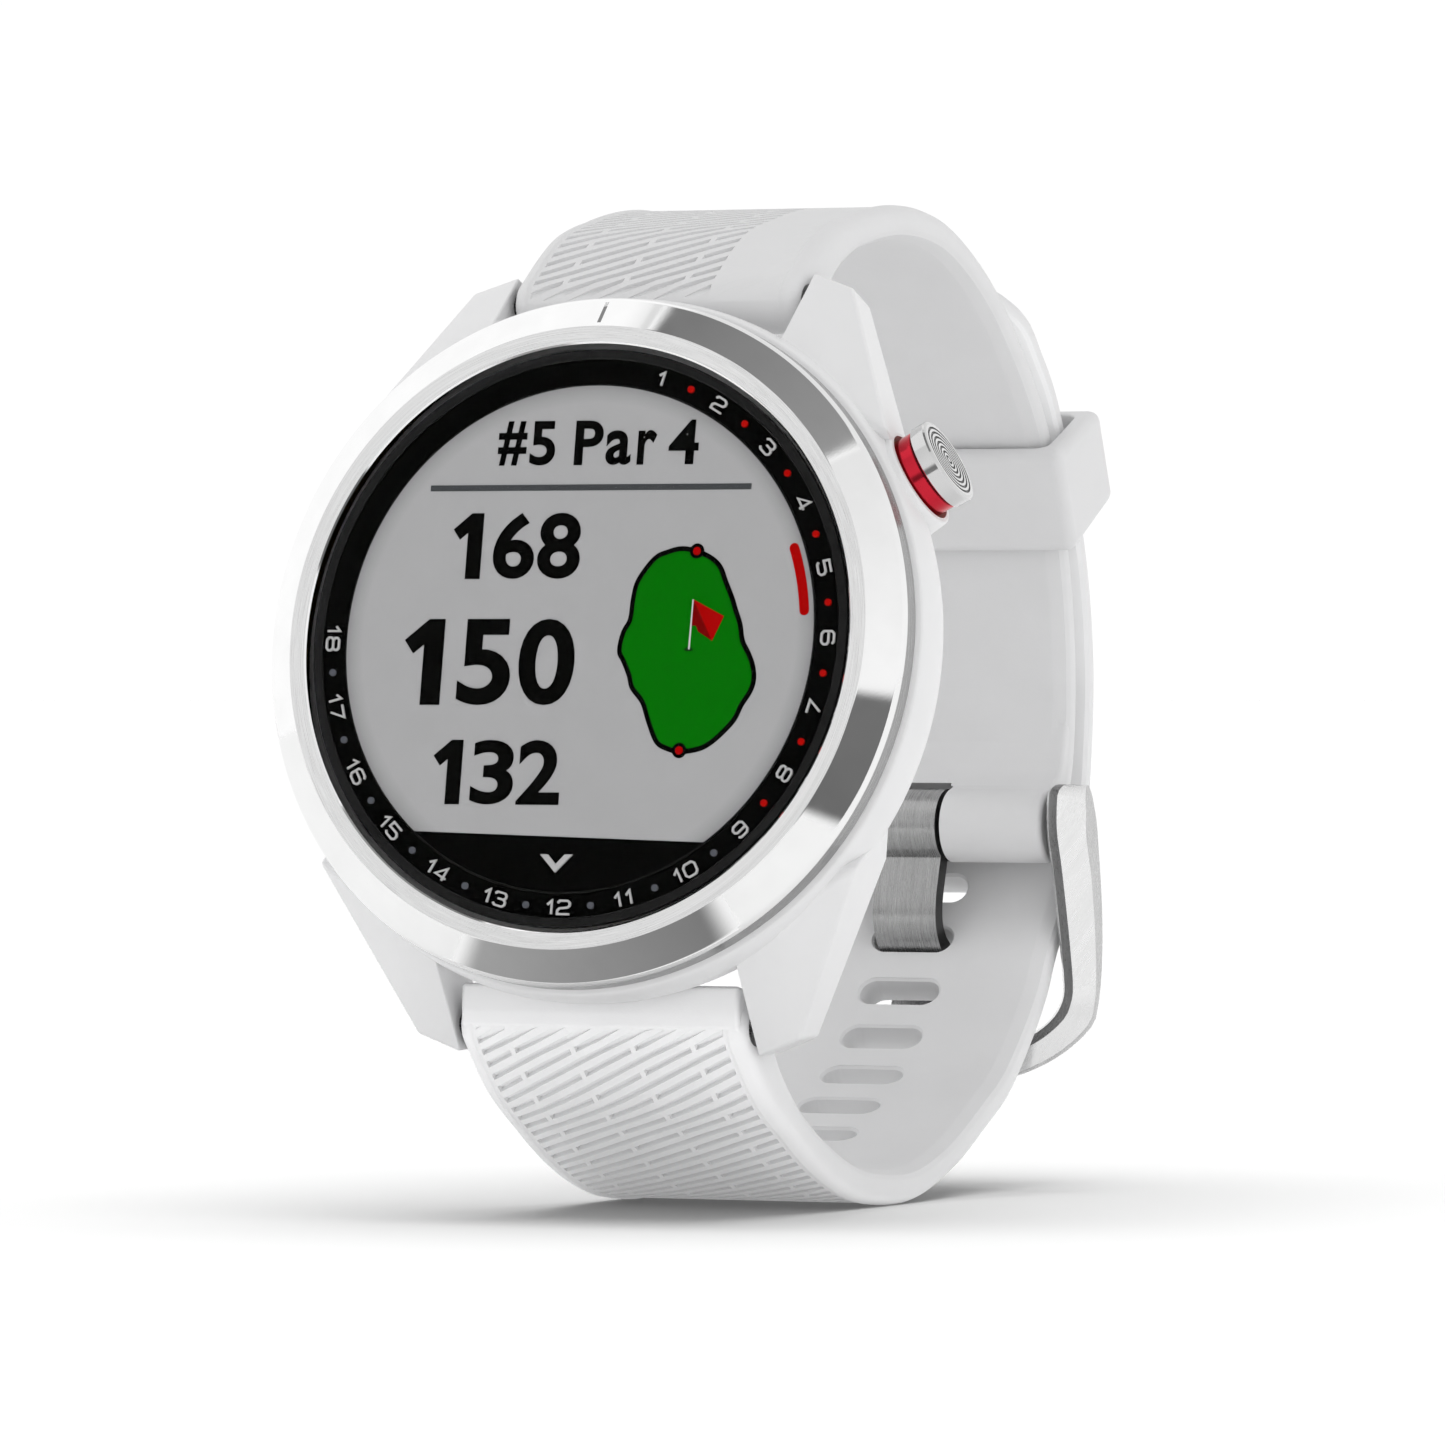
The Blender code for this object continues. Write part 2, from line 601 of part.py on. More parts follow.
def make_lower_strap():
    """The holed strap: round the wrist, through the buckle and out to its rounded tail."""
    def thickness_at(along, length):
        if along < TAIL_START:
            return lug_end_thickness(along)
        if along < length - TIP_LENGTH:
            return blend_between(along, TAIL_START, TAIL_START + 6.0, STRAP_THICK, TAIL_THICK)
        return blend_between(along, length - TIP_LENGTH, length, TAIL_THICK, 1.1)

    def half_width_at(along, length):
        share = max(0.0, (along - length + TIP_LENGTH) / (TIP_LENGTH * 1.05))
        return STRAP_HALF_WIDTH * math.sqrt(1.0 - share * share)

    strap = strap_body("lower_strap", LOWER_LINE, thickness_at, half_width_at, "silicone")
    add_eye(strap, -BAR_UP, BAR_BACK, STRAP_EYE_R, STRAP_BORE_R, STRAP_HALF_WIDTH - 0.03)
    cut_lever_room(strap, -1)
    step = 0.5
    line = even_line(LOWER_LINE, step)[0]
    middle = min(range(len(line)), key=lambda k: (line[k] - Vector(TONGUE_SLOT)).length)
    for index in range(-SLOTS_BEFORE, SLOTS_AFTER + 1):
        k = middle + round(index * SLOT_PITCH / step)
        combine(strap, slot_cutter(line[k], outward(line, k)), 'DIFFERENCE')


# ---------------------------------------------------------------- buckle and keeper

def ribbon_outline(points, thickness):
    """The closed outline of a strip of even thickness along a (back, up) line."""
    line = smooth_line(points, 4)
    sides = []
    for k, centre in enumerate(line):
        run = line[min(k + 1, len(line) - 1)] - line[max(k - 1, 0)]
        normal = Vector((run.y, -run.x)).normalized() * thickness / 2
        sides.append((centre + normal, centre - normal))
    there = [near for near, far in sides]
    back_again = [far for near, far in reversed(sides)]
    return there + back_again


def frame_front_outline(half_width, floor, corner, top):
    """A U in the (across, up) plane with round lower corners."""
    points = [(half_width, top)]
    for k in range(7):
        angle = math.radians(15.0 * k)
        points.append((half_width - corner + corner * math.cos(angle),
                       floor + corner - corner * math.sin(angle)))
    return points + [(-across, up) for across, up in reversed(points)]


def front_plate(name, outline, near, far):
    """An (across, up) outline extruded from near to far behind the dial; a cutter."""
    rings = [[at(across, up, back) for across, up in outline] for back in (near, far)]
    return loft(name, rings)


def make_buckle():
    frame_empty = pivot("buckle_axis", at(0.0, BUCKLE_UP, BUCKLE_BACK))
    frame = side_plate("buckle_frame", FRAME_SIDE, -FRAME_OUTER_HALF, FRAME_OUTER_HALF, "steel",
                       parent=frame_empty, bevel=0.35)
    outer = front_plate("frame_round",
                        frame_front_outline(FRAME_ROUND_HALF, FRAME_ROUND_FLOOR, 8.2, 5.0),
                        40.0, 70.0)
    combine(frame, outer, 'INTERSECT')
    inner = front_plate("frame_window",
                        frame_front_outline(FRAME_INNER_HALF, FRAME_BAR_TOP, 3.6, 5.0),
                        40.0, 70.0)
    combine(frame, inner, 'DIFFERENCE')
    for side in (1, -1):
        hole = bar_rod("frame_bar_hole", side * 9.0, side * 11.4, BUCKLE_BORE_R, BUCKLE_UP,
                       BUCKLE_BACK)
        combine(frame, hole, 'DIFFERENCE')
    rest = side_plate("tongue_rest", ribbon_outline(TONGUE_LINE[7:], TONGUE_THICK + 2 * GAP),
                      -TONGUE_HALF_WIDTH - GAP, TONGUE_HALF_WIDTH + GAP)
    combine(frame, rest, 'DIFFERENCE')
    bar_rod("buckle_bar", -11.1, 11.1, BUCKLE_BAR_R, BUCKLE_UP, BUCKLE_BACK, "steel",
            parent=frame_empty)
    tongue = bar_rod("buckle_tongue", -TONGUE_HALF_WIDTH, TONGUE_HALF_WIDTH, 2.35, BUCKLE_UP,
                     BUCKLE_BACK, "steel", segments=32, parent=frame_empty)
    plate = side_plate("tongue_plate", ribbon_outline(TONGUE_LINE, TONGUE_THICK),
                       -TONGUE_HALF_WIDTH + 0.01, TONGUE_HALF_WIDTH - 0.01)
    combine(tongue, plate, 'UNION')
    combine(tongue, bar_rod("tongue_bore", -5.0, 5.0, BUCKLE_BORE_R, BUCKLE_UP, BUCKLE_BACK),
            'DIFFERENCE')


def keeper_outline(depths, reaches):
    """Four (back, up) corners: the wrist side and the outer side of a box on the strap."""
    turn = math.radians(KEEPER_AT_DEG)
    out = Vector((math.cos(turn), math.sin(turn)))
    along = Vector((-out.y, out.x))
    centre = Vector((CURVE_BACK, CURVE_UP))
    near, far = (centre + out * depth for depth in depths)
    (near_down, near_up), (far_down, far_up) = reaches
    return [near + along * near_down, near + along * near_up,
            far + along * far_up, far + along * far_down]


def make_keeper():
    keeper_empty = pivot("keeper_axis", at(0.0, CURVE_UP, CURVE_BACK))
    keeper = side_plate("strap_keeper", keeper_outline(KEEPER_OUTER, KEEPER_REACH),
                        -KEEPER_OUTER_HALF, KEEPER_OUTER_HALF, "silicone",
                        parent=keeper_empty, bevel=0.45)
    way = side_plate("keeper_way", keeper_outline(KEEPER_INNER, ((-6.0, 6.0), (-6.0, 6.0))),
                     -KEEPER_INNER_HALF, KEEPER_INNER_HALF)
    combine(keeper, way, 'DIFFERENCE')


def build():
    make_bezel()
    flex_room = make_display_stack()
    make_case(flex_room)
    make_case_back()
    make_electronics()
    make_button()
    make_spring_bar("upper", 1)
    make_spring_bar("lower", -1)
    make_upper_strap()
    make_lower_strap()
    make_buckle()
    make_keeper()


build()
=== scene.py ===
"""Looks for the golf GPS watch: every visible piece is rebuilt in fine detail around the
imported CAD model, in the dial frame (X to 3 o'clock, Y to 12 o'clock, Z out of the dial).
"""
import bisect
import json
import math

import bmesh
import bpy
from mathutils import Matrix, Vector


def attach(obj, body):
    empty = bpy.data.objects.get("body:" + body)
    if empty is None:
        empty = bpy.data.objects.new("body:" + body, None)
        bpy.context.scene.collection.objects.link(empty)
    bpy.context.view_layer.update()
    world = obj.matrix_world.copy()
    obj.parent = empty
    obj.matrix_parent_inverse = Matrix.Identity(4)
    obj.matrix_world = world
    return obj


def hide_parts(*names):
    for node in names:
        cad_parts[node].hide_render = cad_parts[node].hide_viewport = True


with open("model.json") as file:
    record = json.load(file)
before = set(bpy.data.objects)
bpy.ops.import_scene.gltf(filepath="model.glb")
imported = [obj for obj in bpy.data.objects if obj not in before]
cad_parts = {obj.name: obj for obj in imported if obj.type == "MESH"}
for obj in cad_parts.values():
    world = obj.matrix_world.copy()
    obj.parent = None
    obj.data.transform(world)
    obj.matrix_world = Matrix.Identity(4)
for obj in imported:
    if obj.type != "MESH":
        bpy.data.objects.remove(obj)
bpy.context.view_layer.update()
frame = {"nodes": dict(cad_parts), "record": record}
MM = 0.001

# ---------------------------------------- the dial frame
LENS_FRONT = 0.42
lens_mount = next(m for m in frame["record"]["mounts"] if m["name"] == "lens_face")
OUT = Vector(lens_mount["axis"]).normalized()
RIGHT = Vector((1.0, 0.0, 0.0))
UP = OUT.cross(RIGHT)
ORIGIN = Vector(lens_mount["pos_m"]) - OUT * LENS_FRONT * MM
DIAL = Matrix((RIGHT, UP, OUT)).transposed().to_4x4()
DIAL.translation = ORIGIN

# ---------------------------------------- driving sizes, mm
CASE_R = 21.7
BEZEL_R = 21.17
BEZEL_BORE_R = 18.05
BEZEL_FLAT_R = 19.15
GLASS_R = 17.75
CAVITY_R = 17.0
SCREEN_R = 15.53
PRINT_R = 16.48
CASE_BACK_DEPTH = 11.2
LUG_GAP_HALF = 10.0
RECESS_HALF = 9.93
RECESS_BACK = 6.4
BAR_UP = 22.4
BAR_BACK = 9.0
EYE_R = 1.95
STRAP_BORE_R = 1.12
STRAP_HALF_WIDTH = 9.65
STRAP_THICK = 2.2
TAIL_THICK = 1.9
TAIL_START = 62.0
TIP_LENGTH = 7.0
TIP_THICK = 1.1
LIP_HALF = 9.3
MERGE_M = 0.4e-6
SLOT_HALF_LENGTH = 2.75
SLOT_HALF_HEIGHT = 0.98
SLOT_PITCH = 4.15
SLOTS_BEFORE = 5
SLOTS_AFTER = 6
TONGUE_SLOT = (54.95, -10.7)
BUCKLE_UP = -2.9
BUCKLE_BACK = 53.4
BUCKLE_BORE_R = 1.08
BUCKLE_EYE_HALF = 9.6
TONGUE_HALF = 2.2
WRIST_CENTRE = Vector((30.0, 0.0))
BUTTON_ANGLE_DEG = 60.0
BUTTON_BACK = 6.4
SCREW_CIRCLE_R = 14.6
HOLE_STEP_DEG = 15.0

# Strap centre lines as (back, up), from the spring bar outwards.
UPPER_LINE = ((9.0, 22.4), (13.2, 26.7), (20.6, 29.8), (27.4, 30.9), (33.2, 30.2), (39.8, 27.6),
              (47.3, 22.2), (52.2, 14.9), (54.7, 8.0), (55.4, 2.0), (54.6, -1.9))
LOWER_LINE = ((9.0, -22.4), (13.0, -25.6), (19.0, -28.1), (25.0, -29.4), (30.0, -29.4),
              (35.6, -28.4), (41.0, -25.9), (45.4, -22.9), (48.6, -20.5), (51.2, -17.5),
              (53.5, -14.1), (54.8, -11.0), (56.9, -7.0), (58.2, -2.5), (58.5, 2.0),
              (57.7, 8.8), (54.8, 16.0), (49.3, 23.5), (45.5, 26.6), (41.8, 29.0), (38.2, 30.6))

# The grooves moulded in the straps' outer faces.
GROOVE_SLOPE = 0.56
GROOVE_PITCH = 1.05
GROOVE_WIDTH = 0.42
GROOVE_DEPTH = 0.34
FIELD_LEFT = -8.3
DASH_PITCH = 4.08
DASH_GAP = 0.40
FIRST_GAP = -6.42
FIELD_START = -1.6
BORDER_FROM = 8.42

# The web of rubber between the upper strap's wrist side and the eye round the buckle bar.
BUCKLE_END_FILLET = ((54.45, 4.2), (54.28, 2.6), (54.1, 1.4), (53.75, 0.45), (53.1, -0.3),
                     (52.3, -0.85), (51.75, -1.35), (53.4, -2.9), (55.2, -0.5), (55.3, 3.8))

# The lip of the lower strap that closes the gap under the case, as (back, up).
LOWER_LIP = ((6.7, -20.15), (6.85, -21.6), (7.12, -22.9), (9.0, -22.9), (9.0, -20.15))


def at(across, up, back):
    """A point of the dial frame in metres, from millimetres across, up and behind the dial."""
    return Vector((across, up, -back)) * MM


# ---------------------------------------- shader nodes

def feed(tree, node, inputs):
    """Give a node's inputs, by name or number, a value or the output that drives them."""
    for socket, value in dict(inputs).items():
        if isinstance(value, bpy.types.NodeSocket):
            tree.links.new(value, node.inputs[socket])
        else:
            node.inputs[socket].default_value = value


def add_node(tree, kind, inputs=(), **settings):
    """A new shader node with its settings and inputs."""
    node = tree.nodes.new("ShaderNode" + kind)
    for name, value in settings.items():
        setattr(node, name, value)
    feed(tree, node, inputs)
    return node


def srgb(red, green, blue):
    """A linear colour from screen values of 0 to 255."""
    def linear(value):
        value /= 255.0
        return value / 12.92 if value <= 0.04045 else ((value + 0.055) / 1.055) ** 2.4
    return (linear(red), linear(green), linear(blue), 1.0)


def grey(value):
    """A linear grey."""
    return (value, value, value, 1.0)


# ---------------------------------------- camera, floor and light

FLOOR_GREY = 0.38
DOME_SIDES = 1.05
DOME_TOP = 0.82


def make_camera():
    """A long lens, level with the dial, 24 degrees to its right."""
    data = bpy.data.cameras.new("camera")
    data.sensor_width = 36.0
    data.lens = 261.6
    data.clip_start = 0.05
    data.clip_end = 20.0
    camera = bpy.data.objects.new("camera", data)
    bpy.context.scene.collection.objects.link(camera)
    camera.location = ORIGIN + Vector((268.75, -574.74, -0.48)) * MM
    azimuth = math.radians(24.27)
    elevation = math.radians(0.42)
    look = Vector((-math.sin(azimuth) * math.cos(elevation),
                   math.cos(azimuth) * math.cos(elevation), -math.sin(elevation)))
    camera.rotation_euler = look.to_track_quat('-Z', 'Y').to_euler()
    bpy.context.scene.camera = camera


def add_sun(name, strength, angle_deg):
    """A broad sun, which shines straight down until it is turned."""
    data = bpy.data.lights.new(name, 'SUN')
    data.energy = strength * math.pi
    data.angle = math.radians(angle_deg)
    sun = bpy.data.objects.new(name, data)
    bpy.context.scene.collection.objects.link(sun)
    return sun


def only(name, obj):
    """A collection of one object, for light linking."""
    collection = bpy.data.collections.new(name)
    collection.objects.link(obj)
    return collection


def make_floor():
    """A wide matt floor, with its own overhead sun that whitens it and deepens the shadow."""
    bpy.ops.mesh.primitive_circle_add(vertices=96, radius=6.0, fill_type='NGON')
    floor = bpy.context.object
    floor.name = "floor"
    surface = bpy.data.materials.new("floor_white")
    surface.use_nodes = True
    tree = surface.node_tree
    feed(tree, tree.nodes["Principled BSDF"],
         {"Base Color": grey(FLOOR_GREY), "Roughness": 1.0, "Specular IOR Level": 0.0})
    floor.data.materials.append(surface)
    sun = add_sun("floor_sun", 1.84, 70.0)
    sun.light_linking.receiver_collection = only("floor_only", floor)


def make_fill_sun(piece):
    """A weak light from low in front for one piece, with no shadows from the others."""
    sun = add_sun("fill_sun", 0.58, 60.0)
    sun.rotation_mode = 'QUATERNION'
    sun.rotation_quaternion = Vector((-0.10, 0.50, 0.86)).to_track_quat('-Z', 'Y')
    sun.visible_glossy = False
    sun.light_linking.receiver_collection = only("fill_receivers", piece)
    sun.light_linking.blocker_collection = only("fill_blockers", piece)


def make_world():
    """A white studio dome, a little weaker straight above."""
    world = bpy.data.worlds.new("studio")
    bpy.context.scene.world = world
    world.use_nodes = True
    tree = world.node_tree
    coords = add_node(tree, "TexCoord")
    height = add_node(tree, "VectorMath",
                      {0: coords.outputs["Generated"], 1: (-0.25, 0.0, 0.97)},
                      operation='DOT_PRODUCT')
    strength = add_node(tree, "MapRange", {"Value": height.outputs["Value"],
                                           "To Min": DOME_SIDES, "To Max": DOME_TOP})
    feed(tree, tree.nodes["Background"],
         {"Strength": strength.outputs["Result"], "Color": grey(1.0)})


def make_card(name, centre, facing, size, shades, softness, roll_deg=0.0, surround=1.05):
    """A grey studio card seen only in reflections, with edges that fade into the white.

    size is its width and height in metres, shades its brightness at the left and the right,
    softness the share of it that fades, and surround the brightness that it fades to.
    """
    bpy.ops.mesh.primitive_plane_add(size=1.0)
    card = bpy.context.object
    card.name = name
    card.location = centre
    card.rotation_mode = 'QUATERNION'
    spin = Matrix.Rotation(math.radians(roll_deg), 4, 'Z').to_quaternion()
    card.rotation_quaternion = Vector(facing).to_track_quat('Z', 'Y') @ spin
    card.scale = (size[0], size[1], 1.0)
    surface = bpy.data.materials.new(name)
    surface.use_nodes = True
    tree = surface.node_tree
    tree.nodes.remove(tree.nodes["Principled BSDF"])
    coords = add_node(tree, "TexCoord")
    split = add_node(tree, "SeparateXYZ", {0: coords.outputs["Object"]})
    tone = add_node(tree, "MapRange", {"Value": split.outputs["X"], "From Min": -0.5,
                                       "From Max": 0.5, "To Min": shades[0],
                                       "To Max": shades[1]})
    across, up = [add_node(tree, "Math", {0: split.outputs[axis]}, operation='ABSOLUTE')
                  for axis in ("X", "Y")]
    edge = add_node(tree, "Math", {0: across.outputs[0], 1: up.outputs[0], 2: 0.1},
                    operation='SMOOTH_MAX')
    fade = add_node(tree, "MapRange", {"Value": edge.outputs[0], "From Min": 0.5 - softness,
                                       "From Max": 0.5}, interpolation_type='SMOOTHSTEP')
    mix = add_node(tree, "Mix", {"Factor": fade.outputs["Result"], "A": tone.outputs["Result"],
                                 "B": surround})
    glow = add_node(tree, "Emission", {"Strength": mix.outputs["Result"]})
    tree.links.new(glow.outputs[0], tree.nodes["Material Output"].inputs["Surface"])
    card.data.materials.append(surface)
    card.visible_camera = False
    card.visible_diffuse = False
    card.visible_shadow = False
    card.visible_transmission = False
    card.visible_volume_scatter = False


def make_studio():
    make_camera()
    make_floor()
    make_world()
    overhead = Vector((0.10, -0.22, 0.97))
    make_card("card_overhead", ORIGIN + overhead * 0.6, -overhead, (0.52, 0.52), (0.34, 0.20),
              0.06, surround=1.12, roll_deg=35.0)
    left = Vector((-0.86, 0.10, 0.50))
    make_card("card_left", ORIGIN + left * 0.7, -left, (1.3, 1.3), (1.12, 1.12), 0.06,
              surround=1.0)
    make_card("card_right", (0.055, -0.073, 0.020), (-0.62, 0.75, 0.0), (0.046, 0.037),
              (0.20, 0.14), 0.10)
    make_card("card_low", (-0.004, -0.047, 0.0012), (0.0, 0.0, 1.0), (0.042, 0.030),
              (0.20, 0.42), 0.12)
    make_card("card_front_low", (0.01, -0.15, 0.006), (0.0, 1.0, 0.0), (0.30, 0.07),
              (0.30, 0.22), 0.3)
    bpy.context.scene.view_settings.view_transform = 'Standard'


# ---------------------------------------- materials

class Finish:
    """A Principled material built up from the patterns that a real surface shows."""

    def __init__(self, name, colour, roughness, metallic=0.0, specular=0.5):
        self.name = name
        self.material = bpy.data.materials.new(name)
        self.material.use_nodes = True
        self.tree = self.material.node_tree
        self.colour = colour
        self.roughness = roughness
        self.put({"Base Color": colour, "Roughness": roughness, "Metallic": metallic,
                  "Specular IOR Level": specular})
        to_dial = DIAL.inverted()
        place = self.node("Mapping", {"Vector": self.node("TexCoord").outputs["Object"],
                                      "Location": to_dial.translation,
                                      "Rotation": to_dial.to_euler()})
        self.coords = place.outputs["Vector"]

    def put(self, inputs):
        """Set or drive inputs of the shader."""
        feed(self.tree, self.tree.nodes["Principled BSDF"], inputs)

    def node(self, kind, inputs=(), **settings):
        return add_node(self.tree, kind, inputs, **settings)

    def math(self, operation, *values):
        return self.node("Math", enumerate(values), operation=operation).outputs[0]

    def stretched(self, scale, turn_deg=(0.0, 0.0, 0.0)):
        """Dial coordinates turned, then scaled per metre along each axis."""
        turn = self.node("Mapping", {"Vector": self.coords,
                                     "Rotation": [math.radians(a) for a in turn_deg]})
        return self.node("VectorMath", {0: turn.outputs["Vector"], 1: scale},
                         operation='MULTIPLY').outputs["Vector"]

    def even(self, scale):
        return self.stretched((scale, scale, scale))

    def polar(self):
        """Distance from the dial's axis, and the X, Y and Z that it comes from."""
        x, y, z = self.node("SeparateXYZ", {0: self.coords}).outputs
        squares = self.math('ADD', self.math('MULTIPLY', x, x), self.math('MULTIPLY', y, y))
        return self.math('SQRT', squares), x, y, z

    def turned(self, around, radial, depth):
        """Coordinates that run round the dial's axis, for circular brushing."""
        radius, x, y, z = self.polar()
        out = self.math('MULTIPLY', radius, radial)
        cosine = self.math('MULTIPLY_ADD', self.math('DIVIDE', x, radius), around, out)
        sine = self.math('MULTIPLY_ADD', self.math('DIVIDE', y, radius), around, out)
        deep = self.math('MULTIPLY', z, depth)
        return self.node("CombineXYZ", {0: cosine, 1: sine, 2: deep}).outputs[0]

    def noise(self, vector, detail, roughness=0.55):
        return self.node("TexNoise", {"Vector": vector, "Scale": 1.0, "Detail": detail,
                                      "Roughness": roughness}).outputs["Fac"]

    def mean(self, first, second, share=0.5):
        """A weighted mean of two patterns."""
        return self.math('ADD', self.math('MULTIPLY', first, share),
                         self.math('MULTIPLY', second, 1.0 - share))

    def mapped(self, value, low, high, start=0.3, end=0.7):
        return self.node("MapRange", {"Value": value, "From Min": start, "From Max": end,
                                      "To Min": low, "To Max": high}).outputs["Result"]

    def shade(self, value, amount):
        """Lighten and darken the colour by amount, following value."""
        low = [c * (1.0 - amount) for c in self.colour[:3]] + [1.0]
        high = [min(1.0, c * (1.0 + amount)) for c in self.colour[:3]] + [1.0]
        mix = self.node("Mix", {"A": low, "B": high, "Factor": self.mapped(value, 0.0, 1.0)},
                        data_type='RGBA')
        self.put({"Base Color": mix.outputs["Result"]})
        return mix.outputs["Result"]

    def gloss(self, value, amount):
        """Raise and lower the roughness by amount, following value."""
        self.put({"Roughness": self.mapped(value, self.roughness - amount,
                                           self.roughness + amount)})

    def bump(self, value, height_mm):
        node = self.node("Bump", {"Height": value, "Distance": height_mm * MM, "Strength": 1.0})
        self.put({"Normal": node.outputs["Normal"]})


def moulded(name, colour, roughness, grain=9000.0, height=0.004, cloud=0.012, **extra):
    """Moulded polymer: fine satin grain, faint clouding and uneven gloss."""
    finish = Finish(name, colour, roughness, **extra)
    fine = finish.noise(finish.even(grain), 2.0)
    soft = finish.noise(finish.even(260.0), 3.0)
    finish.shade(soft, cloud)
    finish.gloss(finish.mean(fine, soft), 0.06)
    finish.bump(fine, height)
    return finish


def brushed(name, colour, roughness, scale, turn_deg=(0, 0, 0), tone=0.10):
    """Straight brushing: long fine scratches along the axis with the smallest scale."""
    finish = Finish(name, colour, roughness, metallic=1.0)
    lines = finish.noise(finish.stretched(scale, turn_deg), 6.0, 0.7)
    broad = finish.noise(finish.stretched([s * 0.22 for s in scale], turn_deg), 3.0)
    finish.shade(finish.mean(lines, broad, 0.65), tone)
    finish.gloss(lines, 0.10)
    finish.bump(lines, 0.004)
    return finish


def circular(name, colour, roughness, scales, tone, anisotropy=0.0):
    """Brushing that runs round the dial; scales are round it, outwards and in depth."""
    finish = Finish(name, colour, roughness, metallic=1.0)
    lines = finish.noise(finish.turned(*scales), 5.0, 0.65)
    finish.shade(lines, tone)
    finish.gloss(lines, 0.08)
    finish.bump(lines, 0.008)
    if anisotropy:
        tangent = finish.node("Tangent", direction_type='RADIAL', axis='Z')
        finish.put({"Anisotropic": anisotropy, "Tangent": tangent.outputs[0]})
    return finish


def polished(name, colour, roughness):
    """Polished metal with faint smears and hairline scratches."""
    finish = Finish(name, colour, roughness, metallic=1.0)
    smear = finish.noise(finish.even(420.0), 4.0)
    hair = finish.noise(finish.stretched((9000.0, 500.0, 9000.0), (20, 35, 50)), 3.0)
    finish.shade(smear, 0.02)
    finish.gloss(smear, 0.03)
    finish.bump(hair, 0.0005)
    return finish


def printed(name, colour, glow=0.0, roughness=0.45):
    """Ink or display pixels: a faint dot grain, with a painted glow that adds light of their own
    colour.
    """
    finish = Finish(name, colour, roughness, specular=0.0)
    grain = finish.noise(finish.even(14000.0), 1.0)
    cloud = finish.noise(finish.even(300.0), 2.0)
    finish.pattern = finish.shade(finish.mean(grain, cloud), 0.03)
    finish.gloss(grain, 0.05)
    # painted glow: the ink and pixels emit light of their own colour, though they are no lamps
    finish.put({"Emission Color": colour, "Emission Strength": glow})
    return finish


def lit_panel(name, colour, glow):
    """The reflective display, with a painted glow and a painted shade that darkens it along its
    round edge.
    """
    finish = printed(name, colour, glow)
    # painted shade: the colour darkens towards the display's round edge, as the rim's shade would
    radius = finish.polar()[0]
    edge = finish.mapped(radius, 1.0, 0.0, (SCREEN_R - 1.1) * MM, (SCREEN_R + 0.1) * MM)
    share = finish.math('MULTIPLY_ADD', finish.math('POWER', edge, 0.6), 0.45, 0.55)
    shadow = finish.node("CombineColor", {0: share, 1: share, 2: share})
    mix = finish.node("Mix", {"Factor": 1.0, "A": finish.pattern, "B": shadow.outputs[0]},
                      data_type='RGBA', blend_type='MULTIPLY')
    finish.put({"Base Color": mix.outputs["Result"]})
    return finish


def clear_glass(name):
    """The lens, with a faint smear."""
    finish = Finish(name, grey(1.0), 0.01, specular=0.2)
    finish.put({"IOR": 1.06, "Transmission Weight": 1.0})
    finish.gloss(finish.noise(finish.even(160.0), 2.0), 0.005)
    return finish


